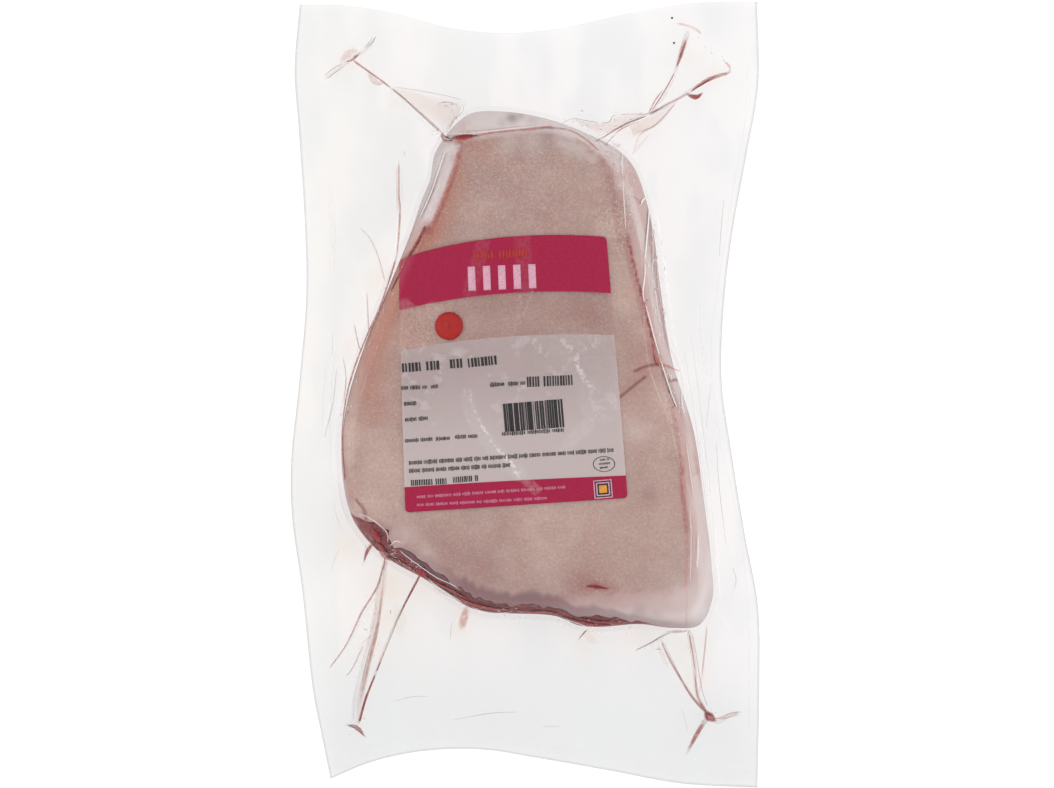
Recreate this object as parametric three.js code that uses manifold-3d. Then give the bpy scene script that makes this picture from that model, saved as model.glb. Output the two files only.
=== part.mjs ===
// A vacuum pack of pork leg, lying on its back with the labelled side up.
//
// The clear pouch clings to the piece of leg, so pouch and leg are one solid: a domed body with a
// flat underside, and round it the flange where the two films lie on each other. The films are
// pulled into pleats that run from the corners of the meat towards the corners of the pouch.
// The second solid is the label stuck on the upper film.
//
// Millimetres, +Z up. The origin is under the middle of the pouch, on the surface it lies on.
// +Y points to the narrow shank end of the leg.

import * as THREE from "three";
import { mergeVertices } from "three/addons/utils/BufferGeometryUtils.js";
import Module from "manifold-3d";

// ---- Driving dimensions ----

const POUCH_WIDTH = 247;
const POUCH_LENGTH = 416;
const FLANGE_THICKNESS = 0.8; // two films and what they hold between them, thickened to a solid

const SEAM_LEVEL = 15; // height at which the films meet round the meat
const RIM_LEVEL = 34; // height of the meat's upper face at its shoulder
const CROWN = 12; // how far the middle stands above the shoulder
const SHOULDER_WIDTH = 12; // mean plan width of the rounded flank
const SHOULDER_SHIFT = 3.5; // the flank is wider towards +X and narrower towards -X by this
const HEEL_WIDTH = 15; // plan width of the rounding under the meat
const FILLET_WIDTH = 4; // the film leaves the flange this far outside the meat
const SWELL = 0.9; // unevenness of the upper face

const DROOP_LENGTH = 45; // the flange sinks from the seam towards the table over this length
const LOWEST_FLANGE = 1.6; // its middle level where it has sunk fully
const RIPPLE = 3; // height of its slow waves

const LABEL_THICKNESS = 0.3;
const LABEL_GAP = 0.3; // clearance to the film
const LABEL_CORNER = 2;

// ---- Outlines, as shares of half the pouch's width and length ----

const HALF_WIDTH = POUCH_WIDTH / 2;
const HALF_LENGTH = POUCH_LENGTH / 2;

// The pouch's four edges, clockwise from the upper left corner: each is pulled in where the
// films go over the meat.
const UPPER_LEFT = [-0.967, 0.992];
const UPPER_RIGHT = [0.993, 1.0];
const LOWER_RIGHT = [0.993, -1.0];
const LOWER_LEFT = [-0.836, -0.978];
const POUCH_EDGES = [
  [UPPER_LEFT, [-0.77, 0.99], [-0.547, 0.969], [-0.33, 0.933], [-0.088, 0.918], [0.148, 0.931],
    [0.43, 0.969], [0.705, 0.997], UPPER_RIGHT],
  [UPPER_RIGHT, [0.997, 0.788], [0.946, 0.61], [0.88, 0.394], [0.843, 0.19], [0.838, 0.025],
    [0.877, -0.141], [0.937, -0.358], [0.993, -0.536], [1.0, -0.752], LOWER_RIGHT],
  [LOWER_RIGHT, [0.662, -0.989], [0.363, -0.956], [0.062, -0.9245], [-0.195, -0.902],
    [-0.453, -0.908], [-0.666, -0.936], LOWER_LEFT],
  [LOWER_LEFT, [-0.868, -0.882], [-0.909, -0.755], [-0.954, -0.498], [-0.997, -0.307], [-1.0, -0.167],
    [-0.967, 0.025], [-0.937, 0.241], [-0.941, 0.406], [-0.971, 0.674], [-0.989, 0.826], UPPER_LEFT],
];
const EDGE_STEPS = [20, 34, 20, 34]; // spokes of the mesh that end on each edge

// The piece of leg seen from above, from its shank end round by +X.
const PORK_OUTLINE = [
  [-0.235, 0.709], [-0.1, 0.715], [0.088, 0.697], [0.252, 0.662], [0.395, 0.617], [0.455, 0.58],
  [0.487, 0.54], [0.54, 0.425], [0.572, 0.28], [0.62, 0.096], [0.715, -0.09], [0.76, -0.27], [0.792, -0.43],
  [0.795, -0.518], [0.74, -0.582], [0.63, -0.59], [0.486, -0.58], [0.316, -0.587], [0.225, -0.583],
  [0.13, -0.56], [-0.065, -0.553], [-0.151, -0.5515], [-0.243, -0.536], [-0.429, -0.466], [-0.568, -0.4205],
  [-0.648, -0.383], [-0.737, -0.31], [-0.782, -0.172], [-0.761, -0.028], [-0.68, 0.13], [-0.575, 0.28],
  [-0.483, 0.416], [-0.4405, 0.492], [-0.406, 0.542], [-0.386, 0.606], [-0.325, 0.664],
];
const PORK_CENTRE = [0.03, -0.015];

// The label, stuck on askew: its corners clockwise from the lower left one.
const LABEL_CORNERS = [[-0.503, -0.293], [-0.535, 0.338], [0.339, 0.392], [0.427, -0.256]];
const LABEL_BOW = [-0.018, 0.0235]; // how far the middle of its upper edge lies off a straight line

// ---- The pleats of the films, outward from the meat: paths as shares, the rest in millimetres ----

const PLEATS = [
  // Upper left corner of the pouch, and the bar across its tip
  { path: [[-0.336, 0.644], [-0.477, 0.723], [-0.571, 0.779], [-0.742, 0.85]], width: 5, height: 1.8 },
  { path: [[-0.635, 0.909], [-0.742, 0.85], [-0.862, 0.804]], width: 3.5, height: 1.4 },
  // Upper right corner: two pleats that part halfway
  { path: [[0.456, 0.677], [0.524, 0.708], [0.597, 0.759], [0.7, 0.926]], width: 4, height: 1.8 },
  { path: [[0.36, 0.664], [0.524, 0.708], [0.644, 0.748], [0.884, 0.82]], width: 4.5, height: 1.8 },
  { path: [[0.845, 0.845], [0.884, 0.82], [0.901, 0.803]], width: 3, height: 1.2 },
  { path: [[0.674, 0.939], [0.7, 0.926], [0.738, 0.924]], width: 3, height: 1.2 },
  // Lower left corner: three pleats, two of them ending at one bar
  { path: [[-0.61, -0.43], [-0.644, -0.479], [-0.721, -0.586], [-0.849, -0.7]], width: 3, height: 1.4 },
  { path: [[-0.585, -0.475], [-0.61, -0.53], [-0.683, -0.687], [-0.725, -0.837]], width: 5, height: 1.6 },
  { path: [[-0.462, -0.49], [-0.567, -0.586], [-0.665, -0.758], [-0.717, -0.847]], width: 4.5, height: 1.8 },
  { path: [[-0.772, -0.84], [-0.717, -0.85], [-0.678, -0.87]], width: 3.5, height: 1.4 },
  // Lower right corner: two pleats that meet at a point with two arms
  { path: [[0.541, -0.56], [0.588, -0.636], [0.653, -0.702], [0.785, -0.814]], width: 4.5, height: 1.8 },
  { path: [[0.691, -0.58], [0.708, -0.664], [0.73, -0.735], [0.785, -0.814]], width: 4, height: 1.6 },
  { path: [[0.785, -0.814], [0.721, -0.873], [0.674, -0.916]], width: 3, height: 1.2 },
  { path: [[0.785, -0.814], [0.85, -0.807], [0.927, -0.804]], width: 3.5, height: 1.2 },
];
const PLEAT_STEPS = 16; // stretches that one pleat is made of

// ---- Small helpers ----

const clamp01 = (value) => Math.min(1, Math.max(0, value));
const fromShare = ([x, y]) => new THREE.Vector3(x * HALF_WIDTH, y * HALF_LENGTH, 0);
const curveThrough = (points, closed = false) => new THREE.CatmullRomCurve3(points, closed, "centripetal");

// ---- The meat's outline in polar form round its centre ----

const centre = fromShare(PORK_CENTRE);
const ANGLE_STEPS = 720;

function angleAndReach(point) {
  const dx = point.x - centre.x;
  const dy = point.y - centre.y;
  return { angle: Math.atan2(dy, dx), reach: Math.hypot(dx, dy) };
}

// The outline's distance from the centre for evenly spaced directions.
function reachTable() {
  const around = curveThrough(PORK_OUTLINE.map(fromShare), true)
    .getPoints(ANGLE_STEPS)
    .map(angleAndReach)
    .sort((a, b) => a.angle - b.angle);
  const full = 2 * Math.PI;
  const wrapped = [
    { angle: around.at(-1).angle - full, reach: around.at(-1).reach },
    ...around,
    { angle: around[0].angle + full, reach: around[0].reach },
  ];
  let next = 1;
  return Array.from({ length: ANGLE_STEPS + 1 }, (_, i) => {
    const angle = -Math.PI + (full * i) / ANGLE_STEPS;
    while (wrapped[next].angle < angle) next += 1;
    const low = wrapped[next - 1];
    const share = (angle - low.angle) / (wrapped[next].angle - low.angle || 1);
    return THREE.MathUtils.lerp(low.reach, wrapped[next].reach, share);
  });
}
const reaches = reachTable();

function reachAt(angle) {
  const place = ((angle + Math.PI) / (2 * Math.PI)) * ANGLE_STEPS;
  const low = Math.min(ANGLE_STEPS - 1, Math.floor(place));
  return THREE.MathUtils.lerp(reaches[low], reaches[low + 1], place - low);
}

// ---- Heights ----

const shoulderWidth = (angle) => SHOULDER_WIDTH + SHOULDER_SHIFT * Math.cos(angle);

// Level of the middle of the flange: it sinks away from the seam and ripples.
function flangeLevel(x, y, outside) {
  const sunk = Math.exp(-outside / DROOP_LENGTH);
  const wave = 0.5 + 0.25 * Math.sin(x / 21 + 0.9) + 0.25 * Math.cos(y / 27 + x / 60);
  return LOWEST_FLANGE + (SEAM_LEVEL - LOWEST_FLANGE) * sunk + RIPPLE * wave * (1 - sunk);
}

// Rises from 0 to 1: slope and bluntness set how sharp it is at its foot and round at its top.
const rise = (share, slope, bluntness) => 1 - (1 - clamp01(share) ** slope) ** bluntness;

// Upper and lower level of the pouch over a point of the plan.
function levelsAt(x, y) {
  const { angle, reach } = angleAndReach({ x, y });
  const limit = reachAt(angle);
  const inset = limit - reach;
  const flange = flangeLevel(x, y, Math.max(0, -inset));
  const spread = Math.min(1, reach / limit);
  const swell = SWELL * (Math.sin(x / 19) * Math.cos(y / 26) + Math.sin(y / 41 + x / 33));
  const crown = RIM_LEVEL + CROWN * (1 - spread ** 2) + swell * (1 - spread ** 4);
  const top = rise((inset + FILLET_WIDTH) / (shoulderWidth(angle) + FILLET_WIDTH), 1.45, 2.3);
  const heel = rise((inset + FILLET_WIDTH) / (HEEL_WIDTH + FILLET_WIDTH), 1.3, 2);
  return {
    upper: THREE.MathUtils.lerp(flange + FLANGE_THICKNESS / 2, crown, top),
    lower: (flange - FLANGE_THICKNESS / 2) * (1 - heel),
  };
}

// ---- The pouch's mesh: spokes from the centre to the edge, in rings ----

const INNER_RINGS = [0.22, 0.42, 0.6, 0.76]; // shares of the way to the shoulder
const FLANK_RINGS = [1, 0.78, 0.58, 0.4, 0.24, 0.1, -0.1]; // shares of the flank's width
const FLANGE_RINGS = [0, 0.16, 0.34, 0.56, 0.78, 1]; // shares of the way to the pouch's edge

function spokeEnds() {
  return POUCH_EDGES.flatMap((edge, i) =>
    curveThrough(edge.map(fromShare)).getPoints(EDGE_STEPS[i]).slice(0, -1),
  );
}

// Distances from the centre of the rings that one spoke crosses.
function ringDistances(angle, edgeReach) {
  const limit = reachAt(angle);
  const width = shoulderWidth(angle);
  const foot = limit + FILLET_WIDTH;
  return [
    ...INNER_RINGS.map((share) => share * (limit - width)),
    ...FLANK_RINGS.map((share) => limit - share * width),
    ...FLANGE_RINGS.map((share) => THREE.MathUtils.lerp(foot, edgeReach, share)),
  ];
}

function pouchGeometry() {
  const positions = [];
  const indices = [];
  const spokes = spokeEnds().map((end) => {
    const { angle, reach } = angleAndReach(end);
    return { angle, distances: ringDistances(angle, reach) };
  });
  const rings = spokes[0].distances.length;
  const count = spokes.length;
  const addBoth = (x, y) => {
    const { upper, lower } = levelsAt(x, y);
    positions.push(x, y, upper, x, y, lower);
  };
  addBoth(centre.x, centre.y);
  spokes.forEach(({ angle, distances }) =>
    distances.forEach((d) => addBoth(centre.x + d * Math.cos(angle), centre.y + d * Math.sin(angle))),
  );
  // Vertex of a spoke and ring; side 0 is the upper face and 1 the lower.
  const at = (spoke, ring, side) => 2 * (1 + (spoke % count) * rings + ring) + side;
  const addQuad = (a, b, c, d) => indices.push(a, b, c, a, c, d);
  const last = rings - 1;
  // The spokes run clockwise seen from above.
  for (let s = 0; s < count; s += 1) {
    indices.push(0, at(s + 1, 0, 0), at(s, 0, 0));
    indices.push(1, at(s, 0, 1), at(s + 1, 0, 1));
    for (let r = 0; r < last; r += 1) {
      addQuad(at(s, r, 0), at(s + 1, r, 0), at(s + 1, r + 1, 0), at(s, r + 1, 0));
      addQuad(at(s, r, 1), at(s, r + 1, 1), at(s + 1, r + 1, 1), at(s + 1, r, 1));
    }
    addQuad(at(s, last, 0), at(s + 1, last, 0), at(s + 1, last, 1), at(s, last, 1));
  }
  return new THREE.BufferGeometry()
    .setAttribute("position", new THREE.Float32BufferAttribute(positions, 3))
    .setIndex(indices);
}

// ---- Closed solids, joined and cut by manifold-3d ----

const wasm = await Module();
wasm.setup();

function solidOf(geometry) {
  const welded = mergeVertices(geometry.deleteAttribute("normal").deleteAttribute("uv"));
  return new wasm.Manifold(
    new wasm.Mesh({
      numProp: 3,
      vertProperties: welded.attributes.position.array,
      triVerts: new Uint32Array(welded.index.array),
    }),
  );
}

function geometryOf(solid) {
  const mesh = solid.getMesh();
  const geometry = new THREE.BufferGeometry()
    .setAttribute("position", new THREE.BufferAttribute(mesh.vertProperties, 3))
    .setIndex(new THREE.BufferAttribute(mesh.triVerts, 1));
  geometry.computeVertexNormals();
  return geometry;
}

// A fold of film: a low ridge of three-cornered section, thin at both ends, that follows the
// upper face and stands in the middle of the flange.
function pleatSolid({ path, width, height }) {
  const curve = curveThrough(path.map(fromShare));
  const positions = [];
  const indices = [];
  for (let i = 0; i <= PLEAT_STEPS; i += 1) {
    const share = i / PLEAT_STEPS;
    const point = curve.getPointAt(share);
    const along = curve.getTangentAt(share);
    const fullness = 0.35 + 0.65 * Math.sin(Math.PI * share) ** 0.5;
    const half = (width / 2) * fullness;
    [-half, half, 0].forEach((side) => {
      const x = point.x - along.y * side;
      const y = point.y + along.x * side;
      const rootDepth = FLANGE_THICKNESS / 2;
      positions.push(x, y, levelsAt(x, y).upper + (side === 0 ? height * fullness : -rootDepth));
    });
  }
  const corner = (step, which) => 3 * step + (which % 3);
  for (let i = 0; i < PLEAT_STEPS; i += 1) {
    for (let c = 0; c < 3; c += 1) {
      const here = corner(i, c);
      const next = corner(i, c + 1);
      const beyond = corner(i + 1, c);
      indices.push(here, next, beyond, next, corner(i + 1, c + 1), beyond);
    }
  }
  indices.push(0, 2, 1, corner(PLEAT_STEPS, 0), corner(PLEAT_STEPS, 1), corner(PLEAT_STEPS, 2));
  return solidOf(
    new THREE.BufferGeometry()
      .setAttribute("position", new THREE.Float32BufferAttribute(positions, 3))
      .setIndex(indices),
  );
}

// The label's outline in plan: four rounded corners and a bowed upper edge.
function labelShape() {
  const corners = LABEL_CORNERS.map(fromShare);
  const near = (corner, other) => {
    const step = other.clone().sub(corner).setLength(LABEL_CORNER);
    return corner.clone().add(step);
  };
  const shape = new THREE.Shape();
  corners.forEach((corner, i) => {
    const enter = near(corner, corners[(i + 3) % 4]);
    const leave = near(corner, corners[(i + 1) % 4]);
    if (i === 0) shape.moveTo(enter.x, enter.y);
    else if (i === 2) shape.quadraticCurveTo(...bowPoint(corners), enter.x, enter.y);
    else shape.lineTo(enter.x, enter.y);
    shape.quadraticCurveTo(corner.x, corner.y, leave.x, leave.y);
  });
  return shape;
}

// Control point of the upper edge's curve, twice as far off the straight line as the bow itself.
function bowPoint(corners) {
  const middle = corners[1].clone().add(corners[2]).divideScalar(2);
  const bow = fromShare(LABEL_BOW);
  return [middle.x + 2 * bow.x, middle.y + 2 * bow.y];
}

// A sheet that follows the upper film: the pouch raised by gap and thickness, cut to the outline.
function labelSolid(pouch) {
  const depth = 2 * (RIM_LEVEL + CROWN);
  const column = solidOf(
    new THREE.ExtrudeGeometry(labelShape(), { depth, bevelEnabled: false, curveSegments: 8 }),
  );
  const raised = pouch.translate([0, 0, LABEL_GAP + LABEL_THICKNESS]);
  return column.intersect(raised).subtract(pouch.translate([0, 0, LABEL_GAP]));
}

// ---- The object ----

const pouchMaterial = new THREE.MeshStandardMaterial({ color: "#d8bfb6", roughness: 0.25, metalness: 0 });
const labelMaterial = new THREE.MeshStandardMaterial({ color: "#a82a4c", roughness: 0.45, metalness: 0 });

function named(name, geometry, material) {
  const mesh = new THREE.Mesh(geometry, material);
  mesh.name = name;
  return mesh;
}

const body = solidOf(pouchGeometry());
const pouch = PLEATS.map(pleatSolid).reduce((joined, pleat) => joined.add(pleat), body);

const group = new THREE.Group();
group.add(named("pouch", geometryOf(pouch), pouchMaterial));
group.add(named("label", geometryOf(labelSolid(body)), labelMaterial));

export default group;
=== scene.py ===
"""Vacuum pack of pork leg: the leg with its rind, the clear pouch round it, and the label on the film.

Lengths are in millimetres inside this file and turned to metres where a mesh is made. The frame is
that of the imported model: origin under the middle of the pouch, +Y towards the shank, +Z up.
"""

from math import radians

import bpy
import numpy as np
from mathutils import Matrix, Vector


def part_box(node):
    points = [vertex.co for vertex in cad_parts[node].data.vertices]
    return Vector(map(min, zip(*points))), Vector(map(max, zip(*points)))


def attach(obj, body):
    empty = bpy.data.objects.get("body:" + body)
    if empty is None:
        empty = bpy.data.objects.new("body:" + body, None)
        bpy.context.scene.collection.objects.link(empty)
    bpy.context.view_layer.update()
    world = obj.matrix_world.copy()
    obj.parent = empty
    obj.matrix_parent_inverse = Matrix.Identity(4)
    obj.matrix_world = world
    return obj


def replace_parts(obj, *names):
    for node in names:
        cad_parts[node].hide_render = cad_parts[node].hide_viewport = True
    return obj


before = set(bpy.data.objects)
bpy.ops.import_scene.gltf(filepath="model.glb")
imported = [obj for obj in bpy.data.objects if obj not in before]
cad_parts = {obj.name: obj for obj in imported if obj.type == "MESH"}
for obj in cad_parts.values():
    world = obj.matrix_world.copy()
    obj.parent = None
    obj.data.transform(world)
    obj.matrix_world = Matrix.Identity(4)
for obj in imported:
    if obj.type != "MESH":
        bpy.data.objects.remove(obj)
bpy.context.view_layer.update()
POUCH_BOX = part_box("pouch")

bl_info = {
    "name": "Pork Leg Vacuum Pack",
    "version": (1, 0, 0),
    "blender": (4, 5, 0),
    "location": "View3D > Sidebar > Vacuum Pack",
    "description": "Builds a clear vacuum pouch with a piece of pork leg and a plain label",
    "category": "Add Mesh",
}

MM = 0.001  # metres in a millimetre
SEED = 11

# ---- Outlines, as shares of half the pouch's width and length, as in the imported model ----

UPPER_LEFT = (-0.967, 0.992)
UPPER_RIGHT = (0.993, 1.0)
LOWER_RIGHT = (0.993, -1.0)
LOWER_LEFT = (-0.836, -0.978)
UPPER_EDGE = [UPPER_LEFT, (-0.77, 0.99), (-0.547, 0.969), (-0.33, 0.933), (-0.088, 0.918), (0.148, 0.931),
              (0.43, 0.969), (0.705, 0.997), UPPER_RIGHT]
RIGHT_EDGE = [LOWER_RIGHT, (1.0, -0.752), (0.993, -0.536), (0.937, -0.358), (0.877, -0.141), (0.838, 0.025),
              (0.843, 0.19), (0.88, 0.394), (0.946, 0.61), (0.997, 0.788), UPPER_RIGHT]
LOWER_EDGE = [LOWER_LEFT, (-0.666, -0.936), (-0.453, -0.908), (-0.195, -0.902), (0.062, -0.9245),
              (0.363, -0.956), (0.662, -0.989), LOWER_RIGHT]
LEFT_EDGE = [LOWER_LEFT, (-0.868, -0.882), (-0.909, -0.755), (-0.954, -0.498), (-0.997, -0.307),
             (-1.0, -0.167), (-0.967, 0.025), (-0.937, 0.241), (-0.941, 0.406), (-0.971, 0.674),
             (-0.989, 0.826), UPPER_LEFT]
PORK_OUTLINE = [
    (-0.235, 0.709), (-0.1, 0.715), (0.088, 0.697), (0.252, 0.662), (0.395, 0.617), (0.455, 0.58),
    (0.487, 0.54), (0.54, 0.425), (0.572, 0.28), (0.62, 0.096), (0.715, -0.09), (0.76, -0.27),
    (0.792, -0.43), (0.795, -0.518), (0.74, -0.582), (0.63, -0.59), (0.486, -0.58), (0.316, -0.587),
    (0.225, -0.583), (0.13, -0.56), (-0.065, -0.553), (-0.151, -0.5515), (-0.243, -0.536), (-0.429, -0.466),
    (-0.568, -0.4205), (-0.648, -0.383), (-0.737, -0.31), (-0.782, -0.172), (-0.761, -0.028), (-0.68, 0.13),
    (-0.575, 0.28), (-0.483, 0.416), (-0.4405, 0.492), (-0.406, 0.542), (-0.386, 0.606), (-0.325, 0.664),
]
PORK_CENTRE = (0.03, -0.015)
LABEL_LOWER_LEFT = (-0.503, -0.293)
LABEL_UPPER_LEFT = (-0.535, 0.338)
LABEL_UPPER_RIGHT = (0.339, 0.392)
LABEL_LOWER_RIGHT = (0.427, -0.256)
LABEL_BOW = (-0.018, 0.0235)  # how far the middle of its upper edge lies off a straight line

# ---- The photograph's frame ----

IMAGE_WIDTH = 1054
TABLE_MM_PER_PX = 0.531
CAMERA_HEIGHT = 1500.0
PHOTO_CENTRE_PX = (527.0, 394.0)
PHOTO_CENTRE = (0.8, 0.3)
SENSOR_WIDTH = 36.0


# ---- Small mathematics ----

KNOTS = 256  # random values to a side of the noise, which repeats beyond them


def smoothstep(low, high, value):
    """Rises from 0 at low to 1 at high with level ends."""
    share = np.clip((value - low) / (high - low), 0, 1)
    return share * share * (3 - 2 * share)


def lerp(low, high, share):
    return low + (high - low) * share


def smooth(points, count, closed=False):
    """A centripetal Catmull-Rom curve through the points, as count points evenly spaced along it.

    Each stretch is a blend of blends of its four neighbouring points, with knots spaced by the
    square root of the distances between them.
    """
    p = np.asarray(points, float)
    ends = (p[-1], p[:1], p[1]) if closed else (2 * p[0] - p[1], p[:0], 2 * p[-1] - p[-2])
    p = np.vstack([ends[0], p, ends[1], ends[2]])
    a, b, c, d = p[:-3], p[1:-2], p[2:-1], p[3:]
    k1, k2, k3 = np.cumsum([
        np.sqrt(np.linalg.norm(far - near, axis=1))[:, None] for near, far in ((a, b), (b, c), (c, d))
    ], axis=0)
    x = k1 + np.linspace(0, 1, 24, endpoint=False)[:, None, None] * (k2 - k1)

    def blend(near, far, low, high):
        return (near * (high - x) + far * (x - low)) / (high - low)

    first = blend(a, b, 0 * k1, k1)
    second = blend(b, c, k1, k2)
    third = blend(c, d, k2, k3)
    curve = blend(blend(first, second, 0 * k1, k2), blend(second, third, k1, k3), k1, k2)
    curve = np.vstack([curve.transpose(1, 0, 2).reshape(-1, p.shape[1]), p[-2]])
    return resample(curve, count)


def resample(curve, count):
    """The same line as count points evenly spaced along it."""
    steps = np.linalg.norm(np.diff(curve, axis=0), axis=1)
    along = np.concatenate([[0], np.cumsum(steps)])
    places = np.linspace(0, along[-1], count)
    return np.column_stack([np.interp(places, along, column) for column in curve.T])


def length_of(path):
    return np.linalg.norm(np.diff(path, axis=0), axis=1).sum()


def noise(x, y, grain, seed):
    """Value noise from -1 to 1: random knots grain apart, blended by a smooth step between them."""
    knots = np.random.default_rng(seed).uniform(-1, 1, (KNOTS, KNOTS))
    u = x / grain + KNOTS / 2
    v = y / grain + KNOTS / 2
    i = np.floor(u).astype(int)
    j = np.floor(v).astype(int)
    fu = smoothstep(0, 1, u - i)
    fv = smoothstep(0, 1, v - j)
    near_i, far_i, near_j, far_j = i % KNOTS, (i + 1) % KNOTS, j % KNOTS, (j + 1) % KNOTS
    low = lerp(knots[near_i, near_j], knots[far_i, near_j], fu)
    high = lerp(knots[near_i, far_j], knots[far_i, far_j], fu)
    return lerp(low, high, fv)


def distance_to(path, x, y):
    """Distance of each point of the plan from a line of straight stretches."""
    nearest = np.full(np.shape(x), 1e9)
    for (ax, ay), (bx, by) in zip(path[:-1], path[1:]):
        dx, dy = bx - ax, by - ay
        share = np.clip(((x - ax) * dx + (y - ay) * dy) / (dx * dx + dy * dy + 1e-12), 0, 1)
        nearest = np.minimum(nearest, np.hypot(x - ax - share * dx, y - ay - share * dy))
    return nearest


def depth_inside(ring, x, y):
    """Signed distance from a closed ring: positive inside it, by counting crossings to the right."""
    inside = np.zeros(np.shape(x), bool)
    for (ax, ay), (bx, by) in zip(ring, np.roll(ring, -1, axis=0)):
        if ay == by:
            continue
        crosses = (ay > y) != (by > y)
        inside ^= crosses & (x < ax + (y - ay) / (by - ay) * (bx - ax))
    distance = distance_to(np.vstack([ring, ring[:1]]), x, y)
    return np.where(inside, distance, -distance)


# ---- The form of the pack ----

SHOULDER_SHIFT = 3.5  # the flank is wider towards +X and narrower towards -X by this
HEEL_WIDTH = 15.0  # of the rounding where the flat underside turns up
FILLET_WIDTH = 4.0  # of the hollow between the flange and the leg's flank
SWELL = 0.9  # height of the slow unevenness of the crown
DROOP_LENGTH = 45.0  # the flange sinks to about a third of its height over this
LOWEST_FLANGE = 1.6
RIPPLE = 3.0  # height of the flange's slow waves
EDGE_ROUNDING = 2.0  # of the leg's edge where the two films meet
RIDGE_HEIGHT = 0.9  # what a main pleat raises in the films, and how wide
RIDGE_WIDTH = 1.6
LOWEST_FILM = 0.06  # the lower film's clearance from the table
RELIEF_STEP = 0.8
RELIEF_REACH = (130, 214)  # how far the grid of heights runs from the middle


def rise(share, slope, bluntness):
    """From 0 to 1: slope sets how sharp it is at its foot, bluntness how round at its top."""
    return 1 - (1 - np.clip(share, 0, 1) ** slope) ** bluntness


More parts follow.
